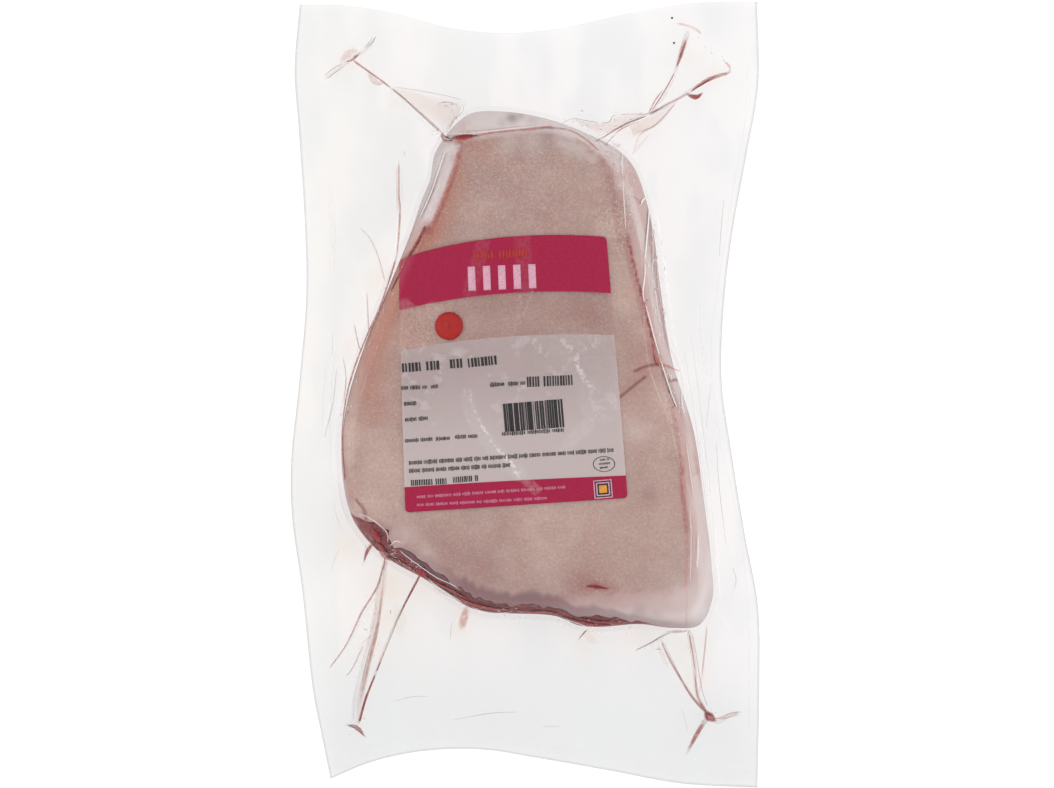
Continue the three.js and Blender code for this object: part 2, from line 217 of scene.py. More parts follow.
class PackForm:
    """The pouch's two faces, the leg's and the label's, as heights over the plan in millimetres."""

    def __init__(self, sizes):
        self.half = np.array([sizes.width, sizes.length]) / 2 / MM
        self.seam = sizes.seam_level / MM
        self.rim = sizes.rim_level / MM
        self.crown = sizes.crown / MM
        self.shoulder = sizes.shoulder_width / MM
        self.gap = sizes.film_gap / MM
        self.film = sizes.flange_thickness / MM
        self.rind = sizes.rind_thickness / MM
        self.label_gap = sizes.label_gap / MM
        self.label_thickness = sizes.label_thickness / MM
        self.centre = self.plan(PORK_CENTRE)
        around = smooth(self.plan(PORK_OUTLINE), 1441, closed=True)[:-1] - self.centre
        self.angles = np.arctan2(around[:, 1], around[:, 0])
        self.reaches = np.hypot(around[:, 0], around[:, 1])

    def plan(self, shares):
        return np.asarray(shares, float) * self.half

    def polar(self, x, y):
        """Angle, reach from the leg's centre, and the reach of its outline there."""
        dx, dy = x - self.centre[0], y - self.centre[1]
        angle = np.arctan2(dy, dx)
        return angle, np.hypot(dx, dy), np.interp(angle, self.angles, self.reaches, period=2 * np.pi)

    def shoulder_width(self, angle):
        return self.shoulder + SHOULDER_SHIFT * np.cos(angle)

    def flange_level(self, x, y, outside):
        """The flange sinks exponentially from the seam towards the table, with slow waves."""
        sunk = np.exp(-outside / DROOP_LENGTH)
        wave = 0.5 + 0.25 * np.sin(x / 21 + 0.9) + 0.25 * np.cos(y / 27 + x / 60)
        return LOWEST_FLANGE + (self.seam - LOWEST_FLANGE) * sunk + RIPPLE * wave * (1 - sunk)

    def levels(self, x, y):
        """Upper and lower face: a dome with a rounded shoulder, a flat underside with a rounded heel."""
        angle, reach, limit = self.polar(x, y)
        inset = limit - reach
        flange = self.flange_level(x, y, np.maximum(0, -inset))
        spread = np.minimum(1, reach / limit)
        swell = SWELL * (np.sin(x / 19) * np.cos(y / 26) + np.sin(y / 41 + x / 33))
        crown = self.rim + self.crown * (1 - spread**2) + swell * (1 - spread**4)
        top = rise((inset + FILLET_WIDTH) / (self.shoulder_width(angle) + FILLET_WIDTH), 1.45, 2.3)
        heel = rise((inset + FILLET_WIDTH) / (HEEL_WIDTH + FILLET_WIDTH), 1.3, 2)
        return lerp(flange + self.film / 2, crown, top), (flange - self.film / 2) * (1 - heel)

    def film_faces(self, x, y):
        """Both films: the pouch's faces, finely wrinkled where they lie on each other or turn down."""
        upper, lower = self.levels(x, y)
        _, reach, limit = self.polar(x, y)
        loose = smoothstep(0, 12, reach - limit)
        tight = np.exp(-(((reach - limit + 5) / 8) ** 2))
        crumple = loose * (0.3 * noise(x, y, 13, SEED) + 0.12 * noise(x, y, 4, SEED + 1))
        creased = tight * (0.2 + 0.14 * noise(x, y, 5, SEED + 9) + 0.06 * noise(x, y, 2.4, SEED + 10))
        bump = 0 * x
        for path in self.ridges:
            bump = np.maximum(bump, RIDGE_HEIGHT * np.exp(-((distance_to(path, x, y) / RIDGE_WIDTH) ** 2)))
        return upper + crumple + creased + bump, np.maximum(lower + crumple + 0.4 * bump, LOWEST_FILM)

    def film_top(self, x, y):
        """Height of the upper film, read from a grid 0.8 mm apart by blending its four nearest knots."""
        if not hasattr(self, "_relief"):
            u, v = (np.arange(-reach, reach + 0.1, RELIEF_STEP) for reach in RELIEF_REACH)
            self._relief = self.film_faces(*np.meshgrid(u, v, indexing="ij"))[0]
        i = (np.asarray(x) + RELIEF_REACH[0]) / RELIEF_STEP
        j = (np.asarray(y) + RELIEF_REACH[1]) / RELIEF_STEP
        low_i, low_j = np.floor(i).astype(int), np.floor(j).astype(int)
        i, j = i - low_i, j - low_j
        relief = self._relief
        low = lerp(relief[low_i, low_j], relief[low_i + 1, low_j], i)
        return lerp(low, lerp(relief[low_i, low_j + 1], relief[low_i + 1, low_j + 1], i), j)

    def label_top(self, x, y):
        return self.levels(x, y)[0] + self.label_gap + self.label_thickness

    def meat_faces(self, x, y):
        """The leg just inside the films, with a rounded edge of elliptic section."""
        upper, lower = self.levels(x, y)
        _, reach, limit = self.polar(x, y)
        inset = np.maximum(limit - reach, 0)
        middle = (upper + lower) / 2
        edge = np.sqrt(1 - (1 - np.minimum(inset / EDGE_ROUNDING, 1)) ** 2)
        half = np.maximum((upper - lower) / 2 - self.gap, 0) * edge
        return middle + half, middle - half

    def from_photo(self, pixels):
        """Plan points under pixels of the photograph: where the camera's rays meet the upper film."""
        offset = (np.asarray(pixels, float) - PHOTO_CENTRE_PX) * (1, -1) * TABLE_MM_PER_PX
        level = np.zeros(len(offset))
        for _ in range(4):
            plan = offset * (1 - level / CAMERA_HEIGHT)[:, None] + PHOTO_CENTRE
            level = self.levels(plan[:, 0], plan[:, 1])[0]
        return plan

    @property
    def ridges(self):
        """Paths of the ridges that the pleats raise in the films."""
        if not hasattr(self, "_ridges"):
            self._ridges = [smooth(self.from_photo(path), 24) for path, _ in PLEATS]
        return self._ridges


# ---- What the films and the meat show: paths in pixels of the photograph, widths in millimetres ----

# Folds of clear film: widths at start, middle and end
PLEATS = [
    # upper left corner and its crossbar
    ([(352, 59), (372, 74), (389, 87)], (0.8, 1.1, 1.3)),
    ([(389, 87), (402, 97), (418, 111), (441, 132)], (1.3, 1.5, 2.2)),
    ([(352, 59), (368, 48), (376, 37)], (1.6, 1.4, 1.1)),
    ([(351, 60), (338, 69), (324, 79)], (1.6, 1.4, 1.1)),
    # upper right corner: two pleats that part halfway, with short bars at their ends
    ([(688, 31), (681, 52), (675, 72), (664, 96), (649, 114)], (2.6, 1.6, 1.5)),
    ([(731, 72), (710, 79), (696, 87), (683, 96), (664, 106), (649, 115)], (1.6, 2.0, 1.4)),
    ([(649, 114), (628, 123), (608, 134)], (1.4, 1.2, 0.6)),
    ([(675, 104), (656, 125), (636, 133)], (0.6, 1.0, 0.8)),
    ([(649, 134), (641, 144), (632, 155)], (0.5, 0.9, 0.6)),
    # lower left corner: three tails and a crossbar
    ([(386, 554), (377, 587), (362, 612), (349, 641), (329, 669)], (0.9, 1.4, 0.6)),
    ([(383, 562), (376, 602), (371, 631), (363, 662), (354, 700), (353, 722)], (0.8, 1.2, 1.2)),
    ([(418, 578), (400, 614), (387, 645), (376, 673), (366, 698), (358, 724)], (0.8, 0.9, 1.4)),
    ([(345, 725), (356, 727), (366, 737)], (1.6, 2.2, 1.3)),
    ([(366, 545), (365, 556), (362, 567)], (1.8, 1.2, 0.5)),
    ([(374, 633), (360, 645)], (0.5, 0.7, 0.4)),
    ([(364, 646), (353, 668), (346, 676)], (0.5, 0.8, 0.4)),
    # lower right corner: three pleats that meet at a point with two arms
    ([(661, 640), (667, 654), (682, 681), (694, 699), (708, 714)], (1.3, 1.6, 2.0)),
    ([(689, 630), (694, 663), (698, 697), (709, 715)], (2.4, 2.0, 1.8)),
    ([(707, 625), (705, 646), (702, 675), (699, 695)], (0.7, 1.0, 0.9)),
    ([(709, 716), (703, 724), (694, 739), (686, 755)], (2.6, 2.4, 1.4)),
    ([(711, 719), (718, 722), (730, 715), (741, 712)], (2.0, 1.6, 1.2)),
    ([(682, 630), (669, 632), (656, 640), (634, 651)], (1.6, 1.4, 0.5)),
    ([(587, 630), (578, 640)], (0.9, 0.7, 0.4)),
    # small folds that fringe the left edge
    ([(399, 160), (399, 197), (400, 210), (396, 259), (381, 304)], (0.7, 1.0, 0.8)),
    ([(359, 227), (369, 237), (378, 256), (385, 282)], (0.5, 0.8, 0.6)),
    ([(367, 291), (368, 314), (369, 334)], (0.5, 0.8, 0.5)),
    ([(354, 323), (359, 346), (362, 353)], (0.5, 0.7, 0.5)),
    ([(343, 356), (346, 376), (344, 403)], (0.5, 0.8, 0.5)),
    ([(337, 367), (333, 403), (324, 439)], (0.4, 0.7, 0.4)),
]

# Webs of film spanned between creases: one side and the other, both running inward to the leg
WEBS = [
    ([(391, 87), (412, 90), (437, 95), (465, 101)], [(392, 89), (405, 100), (424, 117), (447, 133)]),
    ([(668, 106), (646, 113), (616, 115), (608, 121), (588, 120), (571, 118)],
     [(668, 107), (649, 115), (625, 127), (612, 134), (600, 134), (586, 127)]),
    ([(677, 101), (664, 106), (646, 117), (630, 126)],
     [(677, 103), (668, 115), (655, 127), (634, 138)]),
    ([(358, 724), (364, 694), (374, 650), (384, 604), (388, 562)],
     [(357, 724), (356, 700), (366, 655), (375, 606), (385, 562)]),
]

# Where fine flecks of light and shade lie: path, number, spread and length in millimetres
FLECKS = [
    ([(436, 131), (443, 137), (450, 138)], 14, 1.6, 2.2),
    ([(590, 132), (603, 146), (612, 156)], 16, 2.4, 2.6),
    ([(571, 121), (600, 128), (640, 120)], 26, 3.0, 3.0),
    ([(440, 104), (455, 110), (456, 124)], 14, 2.4, 3.0),
    ([(620, 160), (628, 200), (630, 240)], 36, 3.0, 2.4),
    ([(655, 225), (658, 280), (664, 340)], 40, 2.6, 4.0),
    ([(662, 366), (674, 400), (680, 440)], 16, 2.4, 3.0),
    ([(380, 552), (400, 560), (424, 572)], 24, 2.0, 2.6),
    ([(352, 60), (352, 58)], 8, 1.6, 2.0),
    ([(708, 716), (710, 718)], 10, 2.0, 2.4),
    ([(354, 724), (360, 727)], 10, 2.0, 2.2),
    ([(689, 29), (732, 72)], 6, 1.0, 2.0),
    ([(375, 600), (365, 650), (350, 690)], 16, 4.0, 3.0),
    ([(455, 600), (500, 612), (560, 620), (630, 628)], 24, 2.0, 2.6),
    ([(398, 262), (372, 330), (352, 385), (344, 440)], 26, 2.0, 3.0),
]

# Where a trace of juice lies between the films outside the leg: place, radius in millimetres, strength
FLUSHED = [
    (345, 545, 9.0, 0.9), (388, 590, 10.0, 1.0), (392, 618, 8.0, 1.0), (374, 650, 7.0, 0.7),
    (462, 615, 5.0, 1.0), (458, 628, 5.0, 0.8), (420, 590, 7.0, 0.6), (586, 636, 6.0, 0.9),
    (584, 655, 4.0, 0.6), (640, 638, 8.0, 0.6), (690, 645, 9.0, 1.0), (696, 675, 7.0, 0.8),
    (396, 190, 7.0, 0.5), (380, 280, 8.0, 0.7), (350, 350, 6.0, 0.6), (636, 128, 8.0, 0.6),
    (690, 60, 5.0, 0.5), (716, 74, 5.0, 0.5), (350, 60, 6.0, 0.7), (400, 100, 7.0, 0.4),
]

# Juice drawn along the folds: thin where it is a line, wide where it has pooled, with its strength
JUICE = [
    ([(338, 66), (345, 57), (353, 51), (362, 52)], (2.0, 5.0, 2.0), 0.22),
    ([(344, 62), (352, 60), (361, 52)], (0.6, 1.6, 0.5), 0.5),
    ([(352, 60), (362, 67), (372, 74), (382, 81), (392, 89)], (1.2, 1.1, 0.8), 0.42),
    ([(366, 70), (373, 80), (380, 84), (386, 80)], (1.0, 4.0, 1.2), 0.25),
    ([(392, 89), (402, 97), (418, 111), (441, 132)], (0.7, 0.6, 0.8), 0.35),
    ([(675, 23), (685, 25), (697, 30), (702, 36)], (1.4, 1.6, 1.4), 0.25),
    ([(688, 34), (684, 45), (681, 55), (675, 72)], (3.2, 2.8, 0.8), 0.42),
    ([(686, 40), (682, 52), (676, 68)], (0.6, 1.3, 0.5), 0.7),
    ([(675, 72), (665, 90), (651, 112)], (0.6, 0.7, 0.5), 0.5),
    ([(723, 60), (730, 68), (728, 74)], (0.8, 1.6, 1.4), 0.3),
    ([(730, 73), (718, 76), (704, 82), (690, 92)], (1.8, 2.8, 1.0), 0.4),
    ([(716, 76), (704, 83), (690, 92)], (0.6, 1.4, 0.6), 0.75),
    ([(684, 93), (696, 97), (705, 91)], (1.2, 3.4, 1.0), 0.6),
    ([(690, 92), (676, 100), (664, 106), (649, 115)], (0.6, 0.6, 0.6), 0.5),
    ([(664, 89), (656, 99), (648, 114)], (0.6, 1.0, 0.6), 0.4),
    ([(676, 103), (655, 125), (640, 135), (633, 155)], (0.5, 0.9, 0.5), 0.25),
    ([(612, 141), (616, 146), (622, 143)], (1.6, 3.0, 1.2), 0.2),
    ([(647, 116), (624, 125), (594, 142)], (0.7, 0.9, 0.7), 0.4),
    ([(640, 121), (620, 130), (604, 146)], (0.6, 0.8, 0.6), 0.35),
    ([(441, 130), (444, 138), (452, 141)], (1.6, 3.2, 1.6), 0.5),
    ([(450, 138), (463, 137), (478, 135)], (1.4, 3.4, 1.0), 0.9),
    ([(446, 137), (462, 139), (482, 137)], (3.0, 6.0, 2.0), 0.25),
    ([(474, 136), (490, 133), (528, 129), (551, 127), (556, 129)], (1.3, 1.0, 1.2), 0.42),
    ([(551, 127), (570, 130), (586, 139), (601, 152)], (0.8, 0.8, 1.0), 0.35),
    ([(574, 136), (582, 142), (592, 147)], (1.0, 2.4, 1.0), 0.2),
    ([(399, 162), (399, 197), (400, 210), (397, 255)], (0.7, 1.5, 0.6), 0.36),
    ([(401, 150), (404, 152), (405, 158)], (0.5, 1.2, 0.5), 0.2),
    ([(460, 146), (451, 177), (441, 203), (432, 222)], (1.0, 1.6, 1.0), 0.2),
    ([(426, 224), (418, 240), (405, 262), (390, 292)], (1.2, 1.5, 0.8), 0.65),
    ([(396, 259), (381, 304), (366, 338), (353, 372), (345, 405), (342, 440), (345, 482)],
     (1.2, 1.4, 0.8), 0.5),
    ([(359, 227), (369, 237), (378, 256), (385, 282)], (0.4, 0.7, 0.6), 0.22),
    ([(367, 291), (368, 314), (369, 334)], (0.6, 0.9, 0.6), 0.25),
    ([(354, 323), (359, 346), (362, 353)], (0.5, 0.9, 0.5), 0.3),
    ([(386, 554), (377, 587), (362, 612), (346, 645), (329, 669)], (1.0, 1.0, 0.6), 0.4),
    ([(385, 562), (381, 602), (376, 634), (368, 664), (360, 702), (356, 722)], (0.8, 2.6, 4.8), 0.36),
    ([(422, 571), (417, 581), (400, 614), (387, 645), (376, 673)], (1.5, 1.0, 0.8), 0.6),
    ([(376, 673), (366, 698), (359, 724)], (0.8, 1.5, 1.3), 0.6),
    ([(347, 725), (356, 727), (365, 736)], (1.0, 2.6, 1.0), 0.5),
    ([(386, 556), (404, 564), (418, 573), (436, 583), (455, 592), (468, 600)], (1.0, 2.2, 1.0), 0.75),
    ([(374, 540), (381, 548), (386, 556)], (1.2, 3.6, 2.0), 0.75),
    ([(375, 541), (368, 550), (363, 566)], (3.2, 2.2, 0.6), 0.55),
    ([(376, 547), (384, 556), (394, 562)], (1.4, 3.0, 1.4), 0.5),
    ([(396, 600), (400, 622), (398, 640)], (2.0, 9.0, 4.0), 0.08),
    ([(468, 602), (466, 610), (463, 622), (460, 634)], (3.4, 5.0, 6.0), 0.34),
    ([(430, 584), (446, 593), (460, 600)], (2.0, 4.0, 2.0), 0.25),
    ([(414, 567), (421, 572), (428, 578)], (2.6, 5.4, 2.6), 1.0),
    ([(380, 549), (384, 553), (389, 556)], (1.6, 3.4, 1.6), 0.8),
    ([(371, 528), (376, 535), (381, 546)], (1.8, 5.0, 2.0), 0.8),
    ([(452, 594), (468, 602), (480, 606), (495, 609), (512, 610)], (0.8, 2.0, 1.0), 0.7),
    ([(512, 610), (530, 612), (546, 612), (560, 615)], (0.8, 1.6, 1.0), 0.65),
    ([(560, 616), (580, 622), (596, 625), (612, 625)], (0.8, 2.0, 1.0), 0.75),
    ([(584, 586), (597, 587), (610, 589)], (0.5, 1.7, 0.5), 0.9),
    ([(577, 618), (600, 622), (622, 622)], (0.8, 1.6, 0.8), 0.8),
    ([(661, 640), (667, 654), (682, 681), (694, 699), (706, 712)], (0.8, 1.1, 1.4), 0.42),
    ([(689, 632), (694, 663), (698, 697), (706, 711)], (0.9, 0.9, 1.4), 0.45),
    ([(707, 626), (705, 646), (702, 675)], (0.6, 0.9, 0.6), 0.28),
    ([(703, 709), (710, 717), (718, 722)], (2.4, 6.0, 1.6), 0.6),
    ([(708, 719), (703, 724), (694, 739), (686, 755)], (3.4, 2.6, 1.0), 0.5),
    ([(712, 719), (724, 717), (740, 712)], (1.4, 1.6, 0.8), 0.3),
    ([(690, 630), (678, 632), (669, 632)], (1.6, 1.4, 0.8), 0.3),
    ([(656, 638), (664, 660), (672, 672)], (1.2, 3.4, 1.0), 0.14),
    ([(584, 630), (592, 640), (600, 644)], (3.0, 6.0, 3.0), 0.12),
    ([(587, 629), (578, 640)], (0.9, 0.7, 0.4), 0.4),
    # along the folds on the right shoulder
    ([(653, 350), (658, 362), (661, 370)], (1.6, 3.0, 1.0), 0.5),
    ([(668, 380), (671, 401), (678, 434), (682, 466), (684, 500)], (1.4, 2.2, 1.6), 0.14),
    ([(684, 500), (687, 531), (687, 563), (686, 590), (686, 627)], (1.4, 2.4, 1.4), 0.14),
    ([(664, 305), (668, 341), (680, 370), (684, 400)], (0.6, 1.2, 0.6), 0.12),
    ([(657, 362), (668, 366), (681, 372)], (1.0, 1.6, 0.6), 0.35),
    ([(690, 440), (698, 470), (703, 500)], (0.8, 3.0, 0.8), 0.14),
]

# Lines of painted shade where a fold's edge turns the light away from the eye, with their strength
DARK_LINES = [
    ([(391, 88), (402, 97), (418, 112), (440, 132)], (0.3, 0.4, 0.4), 0.5),
    ([(377, 35), (372, 43), (364, 50)], (0.4, 0.45, 0.3), 0.7),
    ([(373, 36), (369, 43), (362, 49)], (0.4, 0.45, 0.3), 0.6),
    ([(323, 77), (333, 69), (343, 63)], (0.4, 0.45, 0.3), 0.65),
    ([(326, 80), (335, 73), (345, 66)], (0.4, 0.45, 0.3), 0.55),
    ([(417, 221), (425, 203), (435, 177), (444, 150)], (0.25, 0.3, 0.3), 0.4),
    ([(420, 221), (428, 203), (438, 177), (447, 150)], (0.25, 0.3, 0.3), 0.5),
    ([(456, 132), (470, 131), (486, 130), (528, 126), (556, 125)], (0.3, 0.5, 0.3), 0.25),
    ([(560, 125), (571, 119), (588, 121), (600, 123)], (0.3, 0.4, 0.3), 0.45),
    ([(600, 123), (609, 122), (613, 116), (618, 115)], (0.3, 0.5, 0.3), 0.6),
    ([(618, 115), (632, 114), (646, 114), (660, 108)], (0.3, 0.4, 0.3), 0.4),
    ([(464, 101), (451, 97), (421, 91), (394, 87)], (0.4, 0.5, 0.3), 0.35),
    ([(465, 101), (462, 112), (454, 120), (449, 131)], (0.3, 0.6, 0.4), 0.35),
    ([(436, 108), (441, 103), (452, 103), (460, 107)], (0.3, 0.6, 0.3), 0.35),
    ([(741, 711), (730, 713), (720, 717)], (0.4, 0.45, 0.3), 0.5),
    ([(741, 714), (730, 717), (720, 720)], (0.4, 0.45, 0.3), 0.5),
    ([(634, 651), (650, 643), (662, 636), (672, 632)], (0.3, 0.6, 0.4), 0.8),
    ([(653, 650), (658, 649), (664, 650)], (0.3, 0.6, 0.3), 0.5),
    ([(577, 641), (583, 634), (589, 628)], (0.3, 0.5, 0.3), 0.6),
    ([(364, 643), (360, 652), (350, 672), (345, 677)], (0.3, 0.5, 0.3), 0.6),
    ([(388, 556), (381, 580), (375, 600), (377, 612), (372, 632)], (0.3, 0.3, 0.2), 0.28),
    ([(382, 603), (376, 625), (368, 655), (362, 680)], (0.2, 0.3, 0.2), 0.2),
    ([(416, 580), (399, 614), (385, 645), (374, 675), (364, 700)], (0.25, 0.35, 0.25), 0.35),
    ([(346, 723), (356, 729), (367, 738)], (0.4, 0.8, 0.4), 0.5),
    ([(663, 640), (676, 668), (690, 695), (704, 712)], (0.3, 0.5, 0.4), 0.4),
    ([(692, 632), (697, 660), (702, 690), (708, 708)], (0.4, 0.5, 0.4), 0.45),
    ([(626, 196), (634, 197), (640, 202), (643, 205)], (0.25, 0.4, 0.3), 0.35),
    ([(651, 210), (650, 232), (648, 262)], (0.2, 0.35, 0.2), 0.3),
    ([(397, 165), (397, 197), (397, 212)], (0.3, 0.5, 0.3), 0.4),
    ([(343, 356), (346, 376), (344, 403)], (0.2, 0.5, 0.2), 0.3),
    ([(337, 367), (333, 403), (324, 439)], (0.2, 0.4, 0.2), 0.25),
    ([(333, 330), (332, 359)], (0.2, 0.4, 0.2), 0.25),
    ([(724, 197), (721, 230), (719, 259)], (0.2, 0.4, 0.2), 0.4),
    ([(716, 440), (719, 485), (724, 529), (726, 547)], (0.2, 0.4, 0.2), 0.4),
    ([(732, 565), (736, 581), (733, 592)], (0.2, 0.4, 0.2), 0.35),
    ([(452, 720), (492, 713), (519, 712)], (0.2, 0.5, 0.2), 0.35),
    ([(393, 702), (410, 697), (430, 696)], (0.2, 0.4, 0.2), 0.3),
    ([(540, 727), (552, 726), (562, 727)], (0.2, 0.4, 0.2), 0.25),
    ([(452, 619), (450, 641)], (0.2, 0.5, 0.2), 0.3),
    ([(681, 706), (685, 720), (688, 735)], (0.2, 0.4, 0.2), 0.25),
    # seals along both long edges
    ([(748, 60), (745, 120), (733, 190), (722, 260), (712, 330), (712, 380)], (0.2, 0.35, 0.2), 0.07),
    ([(712, 380), (720, 440), (734, 500), (745, 570), (749, 660), (749, 730)], (0.2, 0.35, 0.2), 0.07),
    # slack along the leg's long sides
    ([(690, 330), (697, 380), (703, 430), (711, 500), (716, 560)], (0.25, 0.5, 0.25), 0.16),
    ([(684, 350), (692, 400), (699, 450), (708, 520)], (0.25, 0.4, 0.25), 0.14),
    ([(711, 380), (709, 400), (706, 430)], (0.2, 0.35, 0.2), 0.3),
    ([(336, 348), (332, 380), (330, 420), (331, 470)], (0.2, 0.4, 0.2), 0.14),
    ([(327, 360), (323, 400), (322, 440)], (0.2, 0.35, 0.2), 0.14),
    ([(338, 480), (342, 505), (350, 525)], (0.2, 0.4, 0.2), 0.2),
    ([(333, 500), (337, 518), (344, 533)], (0.2, 0.4, 0.2), 0.18),
    ([(340, 548), (334, 560), (331, 572)], (0.3, 0.5, 0.3), 0.18),
]

# Bright streaks of painted highlight, where the lamps' reflection lies along the creases, with their strength
WHITE_LINES = [
    ([(427, 578), (438, 587), (450, 595), (464, 603)], (0.5, 1.5, 0.6), 0.7),
    ([(389, 91), (400, 101), (416, 115), (437, 134)], (0.5, 0.9, 0.5), 0.8),
    ([(375, 36), (370, 44), (363, 49)], (0.5, 0.9, 0.4), 0.9),
    ([(325, 79), (334, 71), (344, 65)], (0.5, 0.9, 0.4), 0.9),
    ([(348, 64), (352, 66), (356, 68)], (0.7, 1.4, 0.7), 0.8),
    ([(446, 149), (436.7, 177), (426.7, 203), (418.7, 220)], (0.5, 0.8, 0.6), 0.9),
    ([(446, 135), (464, 134), (486, 132), (528, 127), (552, 125)], (0.6, 0.8, 0.5), 0.5),
    ([(454, 140), (446, 139), (441, 134)], (0.4, 0.8, 0.4), 0.5),
    ([(689, 31), (688, 34)], (1.8, 2.2, 1.8), 1.0),
    ([(729, 71), (732, 73)], (1.0, 1.4, 1.0), 0.9),
    ([(679, 70), (670, 88), (660, 103), (651, 114)], (0.4, 0.7, 0.4), 0.6),
    ([(663, 108), (650, 117), (632, 125), (608, 138)], (0.5, 1.0, 0.6), 0.8),
    ([(640, 118), (622, 124), (604, 134)], (0.5, 1.0, 0.5), 0.6),
    ([(626, 146), (622, 158), (623, 178)], (0.4, 0.7, 0.4), 0.8),
    ([(623, 178), (624, 200), (626, 232)], (0.4, 1.1, 0.4), 0.4),
    ([(649, 200), (649, 212), (647, 238), (645, 262)], (0.6, 1.3, 0.6), 0.95),
    ([(645, 262), (645, 275), (643, 293), (645, 305)], (0.6, 1.0, 0.6), 0.9),
    ([(645, 303), (650, 321), (655, 340), (660, 358)], (0.6, 1.0, 0.6), 0.8),
    ([(660, 358), (665, 374), (672, 395), (678, 410)], (0.6, 1.2, 0.6), 0.7),
    ([(640, 207), (643, 200), (648, 196)], (0.8, 1.4, 0.8), 0.95),
    ([(652, 222), (653, 250), (652, 276)], (0.3, 0.6, 0.3), 0.6),
    ([(658, 250), (658, 280), (662, 310)], (0.2, 0.4, 0.2), 0.45),
    ([(654, 280), (658, 310), (664, 336)], (0.2, 0.4, 0.2), 0.4),
    ([(682, 388), (682, 402), (685, 418)], (0.5, 1.1, 0.5), 0.6),
    ([(690, 505), (691, 540), (690, 585)], (0.3, 0.6, 0.3), 0.45),
    ([(686, 440), (690, 470), (694, 500)], (0.4, 0.8, 0.4), 0.35),
    ([(357, 513), (368, 517), (378, 524), (387, 533), (388, 545)], (0.5, 1.2, 0.6), 0.35),
    ([(698, 531), (698, 550), (697, 570)], (0.8, 1.6, 0.8), 0.4),
    ([(700, 440), (706, 470), (709, 500)], (0.4, 1.0, 0.4), 0.6),
    ([(398, 549), (409, 558), (420, 566), (436, 577), (453, 585), (460, 590)], (0.4, 0.7, 0.4), 0.75),
    ([(383, 553), (374, 550), (367, 558)], (0.5, 1.0, 0.4), 0.7),
    ([(388, 548), (396, 541), (404, 544)], (0.4, 0.8, 0.4), 0.6),
    ([(384, 566), (378, 592), (366, 612), (352, 640)], (0.4, 0.9, 0.4), 0.7),
    ([(380, 610), (370, 650), (362, 690)], (0.4, 0.7, 0.4), 0.6),
    ([(404, 604), (392, 632), (379, 665)], (0.4, 0.8, 0.4), 0.6),
    ([(352, 722), (360, 724)], (0.6, 1.2, 0.6), 0.7),
    ([(470, 606), (482, 611), (496, 613), (512, 612)], (0.5, 0.8, 0.5), 0.7),
    ([(560, 618), (580, 624), (596, 631), (606, 634)], (0.5, 0.8, 0.5), 0.6),
    ([(737, 712), (729, 715), (721, 719)], (0.4, 0.9, 0.4), 0.8),
    ([(686, 640), (694, 668), (700, 700)], (0.4, 0.8, 0.4), 0.6),
    ([(667, 636), (655, 643), (640, 650)], (0.4, 0.8, 0.4), 0.6),
    ([(401, 165), (402, 190), (402, 205)], (0.5, 0.9, 0.5), 0.6),
    ([(716, 560), (720, 600), (722, 630)], (0.6, 1.2, 0.6), 0.35),
    ([(741, 400), (742, 440), (744, 480)], (1.0, 2.0, 1.0), 0.3),
    ([(700, 300), (702, 340), (704, 370)], (0.6, 1.4, 0.6), 0.35),
    ([(330, 180), (333, 230), (331, 290)], (1.5, 3.0, 1.5), 0.25),
]

# Border of the leg's flat upper face, where the rind turns down over the shoulder
SKIN_FACE = [
    (461, 144), (486, 137), (528, 132), (556, 133), (584, 143), (601, 155), (612, 168), (618, 191),
    (628, 225), (633, 262), (642, 300), (655, 345), (663, 370), (672, 401), (679, 426), (684, 474),
    (686, 512), (688, 550), (686, 580), (664, 592), (626, 592), (592, 595), (560, 599), (530, 601),
    (505, 598), (481, 590), (458, 579), (442, 564), (416, 548), (396, 537), (388, 528), (372, 518),
    (352, 508), (345, 490), (343, 460), (344, 430), (346, 400), (352, 378), (362, 350), (372, 318),
    (383, 288), (396, 262), (412, 250), (424, 230), (432, 221), (440, 203), (450, 177),
]

SKIN_CRACKS = [
    [(620, 397), (631, 388), (645, 377)],
    [(635, 371), (644, 367), (657, 364)],
    [(669, 381), (675, 380), (681, 380)],
    [(356, 500), (364, 510), (366, 520)],
]

# Stains and tones of the rind: place in photo pixels, radius in millimetres and strength
BLUSHES = [
    (468, 124, 9.0, 0.14), (452, 128, 6.0, 0.12), (490, 121, 8.0, 0.08), (597, 587, 2.2, 1.0),
    (594, 585, 5.0, 0.6), (584, 583, 8.0, 0.4), (608, 587, 6.0, 0.45), (460, 141, 4.0, 0.8),
    (472, 143, 5.0, 0.45), (450, 141, 3.0, 0.5), (484, 146, 6.0, 0.2), (464, 127, 5.0, 0.3),
    (455, 158, 4.0, 0.35), (428, 228, 4.0, 0.8), (420, 243, 4.0, 0.3), (590, 150, 4.0, 0.3),
    (603, 160, 4.0, 0.4), (610, 175, 3.5, 0.4), (612, 190, 3.0, 0.3), (652, 350, 5.0, 0.4),
    (656, 362, 3.0, 0.5), (640, 366, 7.0, 0.25), (632, 386, 5.0, 0.2), (578, 318, 8.0, 0.25),
    (592, 312, 6.0, 0.2), (680, 455, 4.0, 0.15), (450, 545, 11.0, 0.16), (353, 494, 4.0, 0.35),
    (465, 138, 4.0, 0.6), (650, 497, 6.0, 0.2), (540, 215, 16.0, 0.16), (500, 240, 12.0, 0.1),
    (480, 575, 14.0, 0.14), (480, 158, 8.0, 0.16), (628, 340, 5.0, 0.12), (432, 226, 4.0, 0.4),
    (440, 205, 3.0, 0.3), (656, 356, 4.0, 0.4),
]
